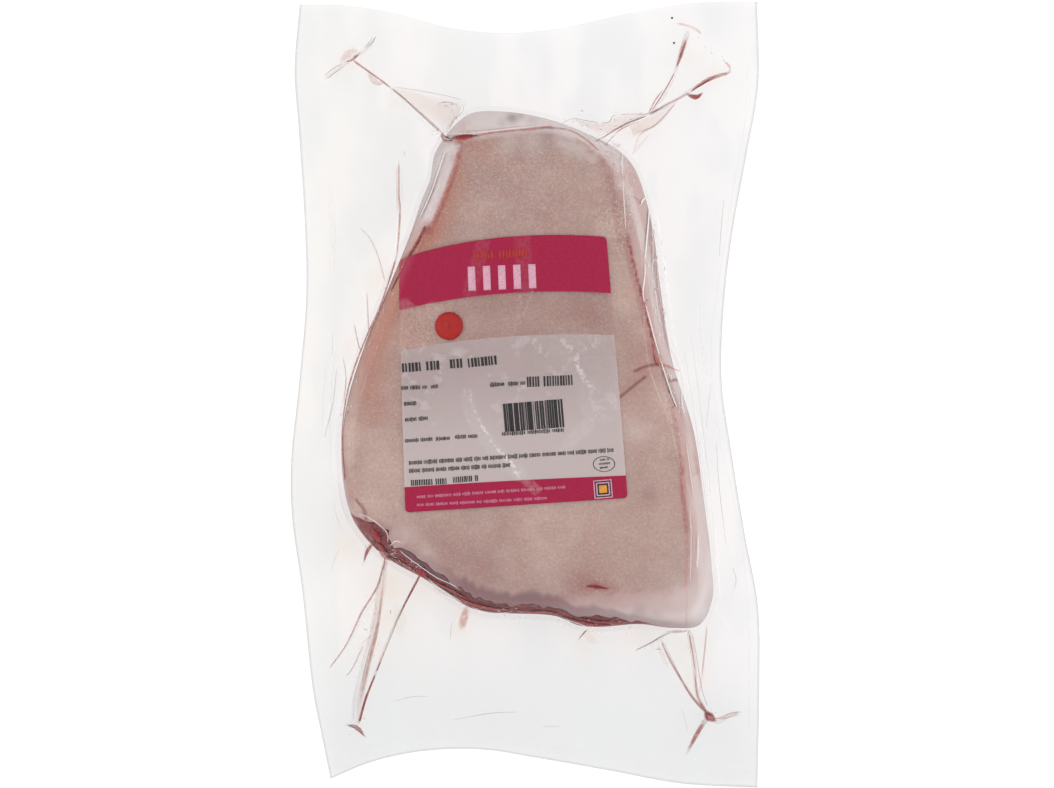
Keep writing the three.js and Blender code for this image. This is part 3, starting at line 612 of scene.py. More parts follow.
# Mauve marks are bruises and bluish membrane; the broad faint row along the skin's lower edge is painted
# shade
MAUVES = [
    (512, 118, 3.5, 0.75), (520, 115, 3.0, 0.45), (502, 122, 3.0, 0.35), (533, 120, 4.0, 0.3),
    (548, 136, 6.0, 0.35), (560, 140, 4.0, 0.3), (650, 496, 6.0, 0.2), (520, 230, 14.0, 0.15),
    (640, 612, 5.0, 0.45), (480, 560, 16.0, 0.16), (520, 205, 20.0, 0.1), (656, 614, 4.0, 0.3),
    (350, 500, 3.0, 0.3), (492, 590, 14.0, 0.18), (530, 597, 14.0, 0.2), (568, 602, 14.0, 0.22),
    (604, 606, 14.0, 0.2), (640, 606, 12.0, 0.14), (474, 585, 12.0, 0.14), (490, 118, 14.0, 0.08),
]
PALES = [
    (571, 147, 5.0, 0.4), (583, 150, 5.0, 0.5), (594, 156, 4.0, 0.35), (636, 432, 6.0, 0.25),
    (660, 604, 13.0, 0.25), (690, 600, 14.0, 0.5), (700, 612, 9.0, 0.8), (425, 552, 5.0, 0.2),
    (405, 535, 6.0, 0.2), (702, 500, 7.0, 0.6), (704, 560, 9.0, 0.45), (480, 118, 6.0, 0.4),
    (495, 116, 5.0, 0.4), (540, 122, 6.0, 0.35), (560, 124, 5.0, 0.4), (510, 140, 6.0, 0.3),
    (532, 138, 8.0, 0.3), (560, 138, 5.0, 0.35), (620, 165, 3.5, 0.7), (623, 185, 3.0, 0.6),
    (617, 155, 3.0, 0.5), (611, 147, 5.0, 0.55), (602, 141, 3.5, 0.4),
]
# Bands on the rind: path, half width in millimetres and strength
# The pale bands along the right shoulder are painted highlights, where the flank catches the lamps; the one
# along the left shoulder is white fat
PALE_BANDS = [
    ([(453, 146), (443, 177), (434, 203), (427, 221)], 2.5, 0.55),
    ([(628, 190), (640, 230), (650, 270), (656, 310), (662, 345), (672, 372), (684, 410)], 2.0, 0.5),
    ([(684, 410), (690, 440), (694, 470)], 1.4, 0.4),
    ([(697, 480), (702, 520), (704, 580), (700, 610)], 3.0, 0.5),
    ([(560, 143), (580, 150), (594, 160)], 2.0, 0.4),
]
MAUVE_BANDS = [
    ([(439, 150), (432, 177), (423, 203), (416, 220)], 1.5, 0.15),
    ([(648, 215), (655, 265), (664, 330), (668, 345)], 1.4, 0.25),
    ([(662, 372), (676, 400), (688, 430)], 1.2, 0.3),
]
BLUSH_BANDS = [
    ([(448, 150), (438, 180), (428, 210)], 3.0, 0.12),
    ([(460, 150), (450, 184), (440, 208), (433, 224)], 1.6, 0.6),
    ([(600, 155), (609, 172), (614, 200), (620, 240)], 1.5, 0.3),
    ([(628, 238), (632, 258), (638, 282), (645, 308), (651, 334), (656, 360)], 1.0, 1.0),
    ([(626, 236), (630, 258), (636, 282), (643, 310), (649, 336), (654, 360)], 2.0, 0.35),
    ([(671, 401), (678, 434), (682, 466)], 0.9, 0.3),
    ([(682, 466), (684, 500), (687, 531)], 1.3, 0.6),
    ([(687, 531), (687, 563), (686, 585)], 1.0, 0.25),
]
# The thin warm skin along the left edge, and its strength by direction in degrees
WARM_EDGE = [(457, 165), (444, 200), (431, 228), (412, 252), (394, 300), (374, 348), (370, 390), (372, 420)]
WARM_ANGLES = (104, 108, 114, 121, 129, 144, 162, 176, 190)
WARM_LEVELS = (0.0, 0.7, 0.8, 1.0, 1.0, 0.95, 0.8, 0.55, 0.2)
WARM_WIDTH = 9.0
# The white fat and the grey membrane that show along the lip, by direction in degrees
FAT_ANGLES = (-158, -150, -140, -120, -100, -85, -70, -58, -48, -38)
FAT_WIDTHS = (0, 0.5, 0.5, 0, 0, 0, 6, 12, 10, 0)
GREY_ANGLES = (-150, -142, -118, -110, -97, -88, -80, -70, -60, -50, -46)
GREY_LEVELS = (0, 0.3, 0.6, 1, 1, 1, 0.85, 0.7, 0.6, 0.4, 0)
SILVER_ANGLES = (-150, -140, -134, -130, -118, -110, -60)
SILVER_LEVELS = (0.1, 0.1, 0.2, 0.85, 0.8, 0.3, 0.25)
# Where the fine stipple of the skin is darker
STIPPLES = [
    (618, 185, 7.0, 0.9), (624, 215, 7.0, 0.9), (622, 240, 6.0, 0.8), (608, 215, 8.0, 0.5),
    (520, 170, 40.0, 0.4), (578, 340, 18.0, 0.5), (430, 320, 14.0, 0.5), (596, 588, 6.0, 0.8),
]
# Lighter skin; the spots along both flanks are painted light, where the flanks face the side lamps
TANS = [
    (388, 470, 17.0, 0.75), (348, 435, 9.0, 0.9), (352, 410, 6.0, 0.5), (372, 500, 10.0, 0.7),
    (560, 530, 22.0, 0.3), (610, 525, 20.0, 0.35), (665, 540, 18.0, 0.35), (668, 405, 12.0, 0.8),
    (640, 420, 14.0, 0.4), (590, 205, 12.0, 0.1), (612, 225, 8.0, 0.5), (626, 300, 9.0, 0.7),
    (642, 330, 6.0, 0.5), (545, 555, 14.0, 0.25), (528, 530, 10.0, 0.3), (650, 430, 9.0, 0.5),
    (650, 510, 14.0, 0.3), (349, 455, 6.0, 0.8), (352, 425, 5.0, 0.9), (362, 350, 3.0, 0.9),
    (668, 440, 8.0, 0.6), (355, 500, 8.0, 0.8), (350, 440, 8.0, 0.9),
]
WARMS = [
    (378, 300, 6.0, 0.3), (394, 270, 5.0, 0.3), (480, 150, 8.0, 0.3), (632, 292, 6.0, 0.25),
    (645, 372, 7.0, 0.2), (345, 400, 5.0, 0.2), (684, 495, 4.0, 0.3),
]

# Inset of the rind's lip from the leg's outline over the cut edge, by direction in degrees
LIP_ANGLES = (
    -149, -147, -144.5, -142, -138, -135, -133, -131, -127, -122, -117, -112, -107, -103.6, -99, -97, -91,
    -85, -79, -73, -69, -65, -60, -55,
)
LIP_INSETS = (
    0.0, 2.2, 6.2, 10.0, 12.4, 9.8, 7.8, 9.6, 9.8, 9.0, 7.8, 7.2, 8.0, 8.4, 5.6, 5.0, 6.2, 5.0, 6.2, 7.4,
    4.8, 2.4, 1.0, 0.0,
)


# ---- Meshes ----


def new_piece(name, points, faces, material, slot, attributes=None, uv=None):
    """A mesh object at the origin that rides with the pack; attributes are one value to a point."""
    mesh = bpy.data.meshes.new(name)
    mesh.from_pydata((points * MM).tolist(), [], faces)
    mesh.shade_smooth()
    for key, values in (attributes or {}).items():
        mesh.attributes.new(key, "FLOAT", "POINT").data.foreach_set("value", values.astype(np.float32))
    if uv is not None:
        corners = np.empty(len(mesh.loops), np.int32)
        mesh.loops.foreach_get("vertex_index", corners)
        mesh.uv_layers.new(name="Layout").data.foreach_set("uv", uv[corners].astype(np.float32).ravel())
    mesh.materials.append(material)
    piece = bpy.data.objects.new(name, mesh)
    bpy.context.collection.objects.link(piece)
    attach(piece, "root")
    return piece


def grid_faces(rows, columns, wrap=False):
    """Quads between the neighbours of a grid stored row by row; wrap joins the last column to the first."""
    row = np.arange(rows - 1)[:, None] * columns
    column = np.arange(columns if wrap else columns - 1)[None, :]
    beside = (column + 1) % columns
    quads = np.stack([row + column, row + beside, row + columns + beside, row + columns + column], axis=-1)
    return quads.reshape(-1, 4)


def slab(upper, lower):
    """Closed sheet between two grids of points: its upper face, its lower face turned over, four walls."""
    rows, columns = upper.shape[:2]
    count = rows * columns
    index = np.arange(count).reshape(rows, columns)
    ring = np.concatenate([index[0, :-1], index[:-1, -1], index[-1, :0:-1], index[:0:-1, 0]])
    beside = np.roll(ring, -1)
    top = grid_faces(rows, columns)
    walls = np.column_stack([ring + count, beside + count, beside, ring])
    faces = np.vstack([top, top[:, ::-1] + count, walls])
    return np.vstack([upper.reshape(-1, 3), lower.reshape(-1, 3)]), faces.tolist()


LENS = np.array([(np.cos(a), max(np.sin(a), 0.35 * np.sin(a))) for a in np.arange(8) * np.pi / 4])


def strip(path, half_widths, heights, section, base, strength=1.0):
    """A section carried along a path of the plan: across it by half_widths, up from base by heights.

    Its fields are core, which falls from 1 on the middle line to 0 at the rim and tips, and strength.
    """
    along = np.gradient(path, axis=0)
    along /= np.linalg.norm(along, axis=1)[:, None]
    left = np.column_stack([-along[:, 1], along[:, 0]])
    x = path[:, :1] + left[:, :1] * half_widths[:, None] * section[:, 0]
    y = path[:, 1:] + left[:, 1:] * half_widths[:, None] * section[:, 0]
    z = base(x, y) + heights[:, None] * section[:, 1]
    rows, columns = x.shape
    faces = grid_faces(rows, columns, wrap=True).tolist()
    faces.append(list(range(columns))[::-1])
    faces.append(list(range((rows - 1) * columns, rows * columns)))
    share = np.linspace(0, 1, rows)[:, None]
    fade = 0.5 if half_widths.max() > 1.4 else min(0.5, 4 / rows)
    core = (1 - np.abs(section[:, 0])) * smoothstep(0, fade, np.minimum(share, 1 - share))
    fields = np.column_stack([core.ravel(), np.full(core.size, strength)])
    return np.stack([x, y, z], axis=-1).reshape(-1, 3), faces, fields


def web(form, first, second):
    """A thin closed sheet spanned between two photo paths, its middle lifted and crumpled."""
    rows, columns = 26, 9
    lift, lumps, thickness = 0.25, 0.5, 0.08
    first, second = (smooth(form.from_photo(side), rows) for side in (first, second))
    share = np.linspace(0, 1, columns)[None, :, None]
    plan = lerp(first[:, None], second[:, None], share)
    x, y = plan[..., 0], plan[..., 1]
    span = np.broadcast_to(np.linspace(0, 1, rows)[:, None], x.shape)
    arch = np.sin(np.pi * share[..., 0])
    top = form.film_top(x, y) + lift + arch * lumps * (0.5 + 0.5 * noise(x, y, 3.5, SEED + 12))
    points, faces = slab(np.dstack([plan, top]), np.dstack([plan, top - thickness]))
    fields = np.column_stack([np.broadcast_to(arch, x.shape).ravel(), lerp(0.35, 1.0, span).ravel()])
    return points, faces, np.tile(fields, (2, 1))


def joined(parts):
    """One set of points, faces and named fields out of several."""
    points, faces, fields, start = [], [], [], 0
    for part_points, part_faces, part_fields in parts:
        points.append(part_points)
        fields.append(part_fields)
        faces.extend([[corner + start for corner in face] for face in part_faces])
        start += len(part_points)
    core, strength = np.vstack(fields).T
    return np.vstack(points), faces, {"core": core, "strength": strength}


def drawn_strips(form, lines, thickness, lift, spacing=0.9):
    """Lens-shaped strips along photo paths: widths run from start over middle to end, with thin tips."""
    parts = []
    for pixels, widths, *strength in lines:
        rough = smooth(form.from_photo(pixels), 60)
        count = max(8, int(length_of(rough) / spacing))
        path = resample(rough, count)
        share = np.linspace(0, 1, count)
        taper = np.clip(np.minimum(share, 1 - share) * count / 3, 0.08, 1) ** 0.6
        half = np.interp(share, (0, 0.5, 1), widths) / 2 * taper
        height = np.minimum(half * 0.9, thickness) * taper
        parts.append(strip(path, half, height, LENS, lambda x, y: form.film_top(x, y) + lift, *strength))
    return parts


def flecks(form, lines, share, thickness, lift, seed):
    """Short strips strewn about photo paths: so many to a path, within a spread in millimetres."""
    rng = np.random.default_rng(seed)
    parts = []
    for pixels, count, spread, long in lines:
        path = smooth(form.from_photo(pixels), 200)
        for place in rng.integers(2, 198, int(count * share)):
            along = path[place + 1] - path[place - 1]
            turn = np.arctan2(along[1], along[0]) + rng.normal(0, 0.5)
            middle = path[place] + rng.normal(0, spread, 2)
            reach = np.array([np.cos(turn), np.sin(turn)]) * long * rng.uniform(0.4, 1.2) / 2
            bend = np.array([-reach[1], reach[0]]) * rng.normal(0, 0.25)
            line = smooth([middle - reach, middle + bend, middle + reach], 8)
            half = np.array([0.1, 0.6, 1, 1, 1, 0.9, 0.6, 0.1]) * rng.uniform(0.12, 0.32)
            base = lambda x, y: form.film_top(x, y) + lift
            parts.append(strip(line, half, np.minimum(half, thickness), LENS, base, rng.uniform(0.25, 0.7)))
    return parts


# ---- Materials ----


def linear(hex_colour):
    """Linear RGBA of an sRGB hex colour."""
    channels = np.array([int(hex_colour[i : i + 2], 16) / 255 for i in (1, 3, 5)])
    values = np.where(channels <= 0.04045, channels / 12.92, ((channels + 0.055) / 1.055) ** 2.4)
    return (*values.tolist(), 1.0)


# How a node is used: its kind, its settings, the inputs that are given in order, the output that is read
BLEND = "ShaderNodeMix", {"data_type": "RGBA", "clamp_factor": True}, (0, 6, 7), 2  # share, low, high
SOFT_STEP = "ShaderNodeMapRange", {"interpolation_type": "SMOOTHSTEP"}, (
    "Value", "From Min", "From Max", "To Min", "To Max"
), "Result"
SPECKLE = "ShaderNodeTexNoise", {}, ("Vector", "Scale", "Detail"), "Fac"
PLUS, LESS, TIMES, POWER, LARGER, SINE, SIZE = (
    ("ShaderNodeMath", {"operation": operation}, (0, 1), 0)
    for operation in ("ADD", "SUBTRACT", "MULTIPLY", "POWER", "MAXIMUM", "SINE", "ABSOLUTE")
)
TIMES_PLUS = "ShaderNodeMath", {"operation": "MULTIPLY_ADD"}, (0, 1, 2), 0
FIELD = "ShaderNodeAttribute", {}, (), "Fac"
PLACE = "ShaderNodeTexCoord", {}, (), "Object"
LAYOUT = "ShaderNodeUVMap", {"uv_map": "Layout"}, (), 0
DRAWN_OUT = "ShaderNodeMapping", {}, ("Vector", "Scale"), 0
ACROSS = "ShaderNodeSeparateXYZ", {}, (0,), 0
UP = "ShaderNodeSeparateXYZ", {}, (0,), 1
PORES = "ShaderNodeTexVoronoi", {}, ("Vector", "Scale"), "Distance"
FACING = "ShaderNodeLayerWeight", {}, ("Blend",), "Facing"
RELIEF = "ShaderNodeBump", {}, ("Strength", "Distance", "Height"), 0
CLEAR = "ShaderNodeBsdfTransparent", {}, ("Color",), 0
MILK = "ShaderNodeBsdfDiffuse", {}, ("Color",), 0
GLOSS = "ShaderNodeBsdfGlossy", {}, ("Color", "Roughness"), 0
COAT = "ShaderNodeBsdfPrincipled", {}, ("Base Color", "Roughness"), 0
OVER = "ShaderNodeMixShader", {}, (0, 1, 2), 0  # share, under, over
OUTPUT = "ShaderNodeOutputMaterial", {}, ("Surface",), None


def add(tree, use, *values, inputs=None, **settings):
    """Adds a node and gives its output. The values fill the inputs of its use in order, and inputs
    fills others by name; each may be another node's output.
    """
    kind, fixed, sockets, output = use
    node = tree.nodes.new(kind)
    for key, value in {**fixed, **settings}.items():
        setattr(node, key, value)
    for key, value in [*zip(sockets, values), *(inputs or {}).items()]:
        if isinstance(value, bpy.types.NodeSocket):
            tree.links.new(value, node.inputs[key])
        else:
            node.inputs[key].default_value = value
    return None if output is None else node.outputs[output]


def new_material(name):
    """A material with an empty node tree."""
    material = bpy.data.materials.new(name)
    material.use_nodes = True
    material.node_tree.nodes.clear()
    return material, material.node_tree


def to_metre(grain_mm):
    """Scale of a pattern whose grain is so many millimetres."""
    return 1 / (grain_mm * MM)


def scalded_rind(colours):
    """Pork rind, scalded, shaved and wiped: matt pinkish tan skin with fine pores, and waxy white fat.

    The eye gets a dull, slightly waxy surface, mottled over centimetres and stippled by follicles.
    """
    material, tree = new_material("scalded pork rind")
    place = add(tree, PLACE)
    broad = add(tree, SOFT_STEP, add(tree, SPECKLE, place, to_metre(26), 3.0), 0.35, 0.65)
    skin = add(tree, BLEND, broad, colours.skin_dark, colours.skin_light)
    warm = add(tree, SOFT_STEP, add(tree, SPECKLE, place, to_metre(11), 3.0), 0.48, 0.7, 0.0, 0.5)
    skin = add(tree, BLEND, warm, skin, colours.skin_rosy)
    # Lighter skin, painted light along both flanks
    skin = add(tree, BLEND, add(tree, FIELD, attribute_name="tan"), skin, colours.skin_tan)
    skin = add(tree, BLEND, add(tree, FIELD, attribute_name="warm"), skin, colours.skin_warm)
    fine = add(tree, SOFT_STEP, add(tree, SPECKLE, place, to_metre(1.6), 3.0), 0.3, 0.7, 0.0, 1.0)
    stipple = add(tree, FIELD, attribute_name="stipple")
    pores = add(tree, TIMES, fine, add(tree, TIMES_PLUS, stipple, 0.4, 0.32))
    skin = add(tree, BLEND, pores, skin, colours.skin_pore)
    glints = add(tree, SOFT_STEP, add(tree, SPECKLE, place, to_metre(0.9), 2.0), 0.54, 0.7)
    glints = add(tree, TIMES, glints, add(tree, SOFT_STEP, stipple, 0.0, 1.0, 0.25, 0.8))
    skin = add(tree, BLEND, glints, skin, colours.fat)
    # Follicles stand about 2.4 mm apart
    dots = add(tree, SOFT_STEP, add(tree, PORES, place, to_metre(2.4)), 0.06, 0.22, 1.0, 0.0)
    some = add(tree, SOFT_STEP, add(tree, SPECKLE, place, to_metre(14)), 0.5, 0.62)
    dots = add(tree, TIMES, dots, some)
    skin = add(tree, BLEND, add(tree, TIMES, dots, 0.3), skin, colours.skin_follicle)
    ragged = add(tree, TIMES_PLUS, add(tree, SPECKLE, place, to_metre(5)), 5.0, -2.5)
    face = add(tree, PLUS, add(tree, FIELD, attribute_name="face"), ragged)
    face = add(tree, SOFT_STEP, face, -2.5, 2.0)
    colour = add(tree, BLEND, face, colours.flank, skin)
    colour = add(tree, BLEND, add(tree, FIELD, attribute_name="fat"), colour, colours.fat)
    # Mauve marks: membrane and bruises, with painted shade along the skin's lower edge
    colour = add(tree, BLEND, add(tree, FIELD, attribute_name="mauve"), colour, colours.mauve)
    # Pale marks: white fat, with painted highlights along the right shoulder
    colour = add(tree, BLEND, add(tree, FIELD, attribute_name="pale"), colour, colours.fat)
    patchy = add(tree, SOFT_STEP, add(tree, SPECKLE, place, to_metre(2.2), 4.0), 0.3, 0.62, 0.35, 1.0)
    blush = add(tree, TIMES, add(tree, FIELD, attribute_name="blush"), patchy)
    colour = add(tree, BLEND, blush, colour, colours.blush)
    colour = add(tree, BLEND, add(tree, FIELD, attribute_name="crack"), colour, colours.crack)
    relief = add(tree, RELIEF, 0.35, 0.25 * MM, add(tree, LESS, add(tree, TIMES, fine, 0.6), dots))
    shader = add(tree, COAT, colour, 0.5, inputs={
        "Specular IOR Level": 0.15, "Normal": relief,
        "Subsurface Weight": 0.12, "Subsurface Radius": (1.0, 0.45, 0.3), "Subsurface Scale": 2.5 * MM,
    })
    add(tree, OUTPUT, shader)
    return material


def cut_lean(colours):
    """Raw lean and fat, cut with a knife: wet dark red muscle in bundles, parted by white seams."""
    material, tree = new_material("cut pork lean")
    place = add(tree, PLACE)
    drawn = add(tree, DRAWN_OUT, place, (1.0, 1.0, 2.4))
    bundles = add(tree, SOFT_STEP, add(tree, SPECKLE, drawn, to_metre(5), 4.0), 0.3, 0.7)
    # Muscle bundles, lighter and darker in turn; the darker tone is partly the muscle's colour and partly
    # painted shade
    muscle = add(tree, BLEND, bundles, colours.lean_dark, colours.lean)
    # Painted moist highlights: fine streaks along the grain in the lighter tone
    grain = add(tree, SOFT_STEP, add(tree, SPECKLE, drawn, to_metre(0.9), 2.0), 0.4, 0.7, 0.0, 0.5)
    muscle = add(tree, BLEND, grain, muscle, colours.lean_light)
    seams = add(tree, SOFT_STEP, add(tree, SPECKLE, drawn, to_metre(9), 3.0), 0.58, 0.68)
    muscle = add(tree, BLEND, add(tree, TIMES, seams, 0.25), muscle, colours.fat)
    fat = add(tree, SOFT_STEP, add(tree, SPECKLE, place, to_metre(7), 3.0), 0.4, 0.7)
    fat = add(tree, BLEND, fat, colours.fat, colours.flank)
    clots = add(tree, SOFT_STEP, add(tree, SPECKLE, place, to_metre(3.2), 3.0), 0.52, 0.66, 0.0, 0.7)
    muscle = add(tree, BLEND, clots, muscle, colours.lean_dark)
    colour = add(tree, BLEND, add(tree, FIELD, attribute_name="lean"), fat, muscle)
    colour = add(tree, BLEND, add(tree, FIELD, attribute_name="silver"), colour, colours.membrane)
    relief = add(tree, RELIEF, 0.5, 0.5 * MM, bundles)
    shader = add(tree, COAT, colour, 0.4, inputs={"Specular IOR Level": 0.1, "Normal": relief})
    add(tree, OUTPUT, shader)
    return material


EMBOSSING = 4200.0  # radians to the metre, which set the diamonds about 1.5 mm apart


def clear_film(name, tint, grazing, haze, roughness, kind="folded", veil=None):
    """Nylon and polyethylene laminate, blown and clear, 0.09 mm thick.

    The eye sees straight through it, a little greyer where it is seen edge on, with sharp gloss.
    The diffuse share is its haze; the embossed band along the lower edge is hazier. A soft kind
    fades towards the rims of a strip.
    """
    material, tree = new_material(name)
    place = add(tree, PLACE)
    facing = add(tree, FACING, 0.5)
    edge_on = add(tree, SOFT_STEP, facing, 0.25, 0.95)
    through = add(tree, BLEND, edge_on, linear(tint), linear(grazing))
    haze_share = haze
    if kind == "sheet":
        # The embossing is a lattice of diamonds 1.5 mm apart, within 9 mm of the lower edge
        layout = add(tree, LAYOUT)
        across, up = add(tree, ACROSS, layout), add(tree, UP, layout)
        one, two = (
            add(tree, SINE, add(tree, TIMES, add(tree, way, across, up), EMBOSSING)) for way in (PLUS, LESS)
        )
        near = add(tree, SOFT_STEP, up, 0.008, 0.011, 0.09, 0.0)
        lattice = add(tree, SIZE, add(tree, TIMES, one, two))
        knurl = add(tree, TIMES, near, lattice)
        haze_share = add(tree, PLUS, knurl, haze)
        # Outside the leg the films lie on each other with air between, so less light gets through
        double = add(tree, SOFT_STEP, across, 0.0, 0.14)
        double = add(tree, BLEND, double, linear("#faf9f8"), linear("#faf9f9"))
        double = add(tree, BLEND, add(tree, SOFT_STEP, up, 0.01, 0.1), linear("#f4f4f4"), double)
        double = add(tree, BLEND, add(tree, FIELD, attribute_name="flushed"), double, linear("#f9f5f2"))
        # Broad soft grey streaks: painted shade standing in for the film's uneven refraction
        drawn = add(tree, DRAWN_OUT, place, (1.6, 0.7, 1.0))
        broad = add(tree, SOFT_STEP, add(tree, SPECKLE, drawn, to_metre(45)), 0.4, 0.62, 0.0, 0.5)
        double = add(tree, BLEND, broad, double, linear("#f4f5f5"))
        double = add(tree, BLEND, edge_on, double, linear("#eae8e8"))
        double = add(tree, BLEND, add(tree, FIELD, attribute_name="rim"), double, linear("#e6e6e6"))
        through = add(tree, BLEND, add(tree, FIELD, attribute_name="loose"), through, double)
    if kind == "soft":
        core = add(tree, SOFT_STEP, add(tree, FIELD, attribute_name="core"), 0.0, 0.9)
        share = add(tree, TIMES, core, add(tree, FIELD, attribute_name="strength"))
        through = add(tree, BLEND, share, (1, 1, 1, 1), through)
        haze_share = add(tree, TIMES, share, haze)
    milk = add(tree, MILK, linear(veil) if veil else (0.95, 0.95, 0.95, 1))
    body = add(tree, OVER, haze_share, add(tree, CLEAR, through), milk)
    # Mirror share of a wet film: 0.03 face on, rising by 0.2 with the fifth power of the slant
    rising = add(tree, POWER, facing, 5.0)
    mirror = add(tree, TIMES_PLUS, rising, 0.2, 0.03)
    surface = add(tree, OVER, mirror, body, add(tree, GLOSS, (1, 1, 1, 1), roughness))
    add(tree, OUTPUT, surface)
    return material


# Where the label's bands and its panel end, as shares of its height, and how the bands slant
LOWER_BAND = 0.1
PANEL = 0.637
UPPER_BAND = 0.797
BAND_SLANT = 0.014
PRINT_SHARPNESS = 0.0015


def thermal_label(colours):
    """Polypropylene label, printed in magenta and on a white ground, clear between.

    The eye gets a satin sheet pressed on the film. The white ground lets some of the skin through,
    less where blotches of air hold it off the film.
    """
    material, tree = new_material("printed polypropylene label")
    layout = add(tree, LAYOUT)
    across = add(tree, ACROSS, layout)
    up = add(tree, PLUS, add(tree, UP, layout), add(tree, TIMES, across, BAND_SLANT))
    place = add(tree, PLACE)
    above_lower, above_panel, above_upper = (
        add(tree, SOFT_STEP, up, edge - PRINT_SHARPNESS, edge + PRINT_SHARPNESS)
        for edge in (LOWER_BAND, PANEL, UPPER_BAND)
    )
    lower_band = add(tree, LESS, 1.0, above_lower)
    printed = add(tree, LARGER, lower_band, above_upper)
    panel = add(tree, LESS, above_lower, above_panel)
    fine = add(tree, SPECKLE, place, to_metre(1.1), 3.0)
    ink = add(tree, BLEND, add(tree, SOFT_STEP, fine, 0.3, 0.7), colours.magenta_dark, colours.magenta)
    paper = add(tree, BLEND, add(tree, SOFT_STEP, up, 0.2, 0.6), colours.panel, colours.panel_cool)
    # The clear part's colour, lighter towards the left, is partly the skin seen through it and partly painted
    # light that offsets the shade the label casts on that skin
    bare_tone = add(tree, SOFT_STEP, across, 0.1, 0.42)
    bare_tone = add(tree, BLEND, bare_tone, linear("#f8cfc1"), linear("#d0a9a3"))
    paper = add(tree, BLEND, panel, bare_tone, paper)
    colour = add(tree, BLEND, printed, paper, ink)
    streaked = add(tree, SOFT_STEP, add(tree, SPECKLE, place, to_metre(2.0), 4.0), 0.36, 0.6, 0.35, 1.1)
    glare = add(tree, TIMES, add(tree, FIELD, attribute_name="glare"), streaked)
    colour = add(tree, BLEND, glare, colour, linear("#fbf7f4"))
    air = add(tree, SOFT_STEP, add(tree, SPECKLE, place, to_metre(8), 4.0), 0.56, 0.7, 0.0, 0.22)
    air = add(tree, TIMES, air, add(tree, SOFT_STEP, up, 0.22, 0.5))
    panel_cover = add(tree, PLUS, add(tree, SOFT_STEP, up, 0.22, 0.6, 0.62, 0.34), air)
    clear_cover = add(tree, SOFT_STEP, fine, 0.35, 0.7, 0.05, 0.2)
    ink_cover = add(tree, TIMES, printed, 0.96)
    cover = add(tree, PLUS, add(tree, TIMES, panel, panel_cover), ink_cover)
    bare = add(tree, LESS, add(tree, LESS, 1.0, panel), printed)
    cover = add(tree, PLUS, cover, add(tree, TIMES, bare, clear_cover))
    under_glare = add(tree, PLUS, add(tree, TIMES, cover, 0.6), glare)
    cover = add(tree, LARGER, cover, under_glare)
    height = add(tree, PLUS, fine, add(tree, TIMES, add(tree, SPECKLE, place, to_metre(7), 2.0), 2.0))
    relief = add(tree, RELIEF, 0.3, 0.3 * MM, height)
    sheet = add(tree, COAT, colour, 0.4, inputs={"Specular IOR Level": 0.35, "Normal": relief})
    surface = add(tree, OVER, cover, add(tree, CLEAR, (0.99, 0.985, 0.985, 1)), sheet)
    add(tree, OUTPUT, surface)
    return material


def thermal_ink(name, colour, worn):
    """Ink or a stain: a matt coat that is a little worn, so the eye sees it broken by fine gaps."""
    material, tree = new_material(name)
    place = add(tree, PLACE)
    broken = add(tree, SOFT_STEP, add(tree, SPECKLE, place, to_metre(0.8), 3.0), 0.3, 0.5, 1.0 - worn, 1.0)
    lighter = (*(min(1.0, 1.25 * channel) for channel in colour[:3]), 1.0)
    tone = add(tree, BLEND, add(tree, SPECKLE, place, to_metre(6)), colour, lighter)
    surface = add(tree, OVER, broken, add(tree, CLEAR), add(tree, COAT, tone, 0.5))
    add(tree, OUTPUT, surface)
    return material


def red_juice(colours):
    """Meat juice held between the films: a thin wet layer, salmon where it is thin and crimson where deep."""
    material, tree = new_material("meat juice")
    place = add(tree, PLACE)
    patchy = add(tree, SOFT_STEP, add(tree, SPECKLE, place, to_metre(3), 3.0), 0.3, 0.6, 0.75, 1.0)
    strength = add(tree, TIMES, add(tree, FIELD, attribute_name="strength"), patchy)
    core = add(tree, SOFT_STEP, add(tree, FIELD, attribute_name="core"), 0.0, 0.5)
    share = add(tree, TIMES, core, add(tree, SOFT_STEP, strength, 0.0, 0.75, 0.0, 0.95))
    tone = add(tree, BLEND, add(tree, SOFT_STEP, strength, 0.1, 0.75), colours.juice_thin, colours.juice_deep)
    wet = add(tree, COAT, tone, 0.25, inputs={"IOR": 1.36})
    surface = add(tree, OVER, share, add(tree, CLEAR), wet)
    add(tree, OUTPUT, surface)
    return material


def plain_floor():
    """Light table of white acrylic: matt, faintly mottled, lit from under until it is near white."""
    material, tree = new_material("white acrylic light table")
    cloudy = add(tree, SPECKLE, add(tree, PLACE), to_metre(300))
    tone = add(tree, BLEND, cloudy, linear("#b4b4b4"), linear("#b8b8b8"))
    board = add(tree, COAT, tone, 0.9, inputs={
        "Specular IOR Level": 0.0, "Emission Color": (1, 1, 1, 1), "Emission Strength": 0.68,
    })
    add(tree, OUTPUT, board)
    return material


# ---- Settings ----


def length(name, description, default, **more):
    return bpy.props.FloatProperty(name=name, description=description, default=default, unit="LENGTH", **more)


def colour(name, description, default):
    return bpy.props.FloatVectorProperty(
        name=name, description=description, default=linear(default), size=4, subtype="COLOR", min=0, max=1
    )


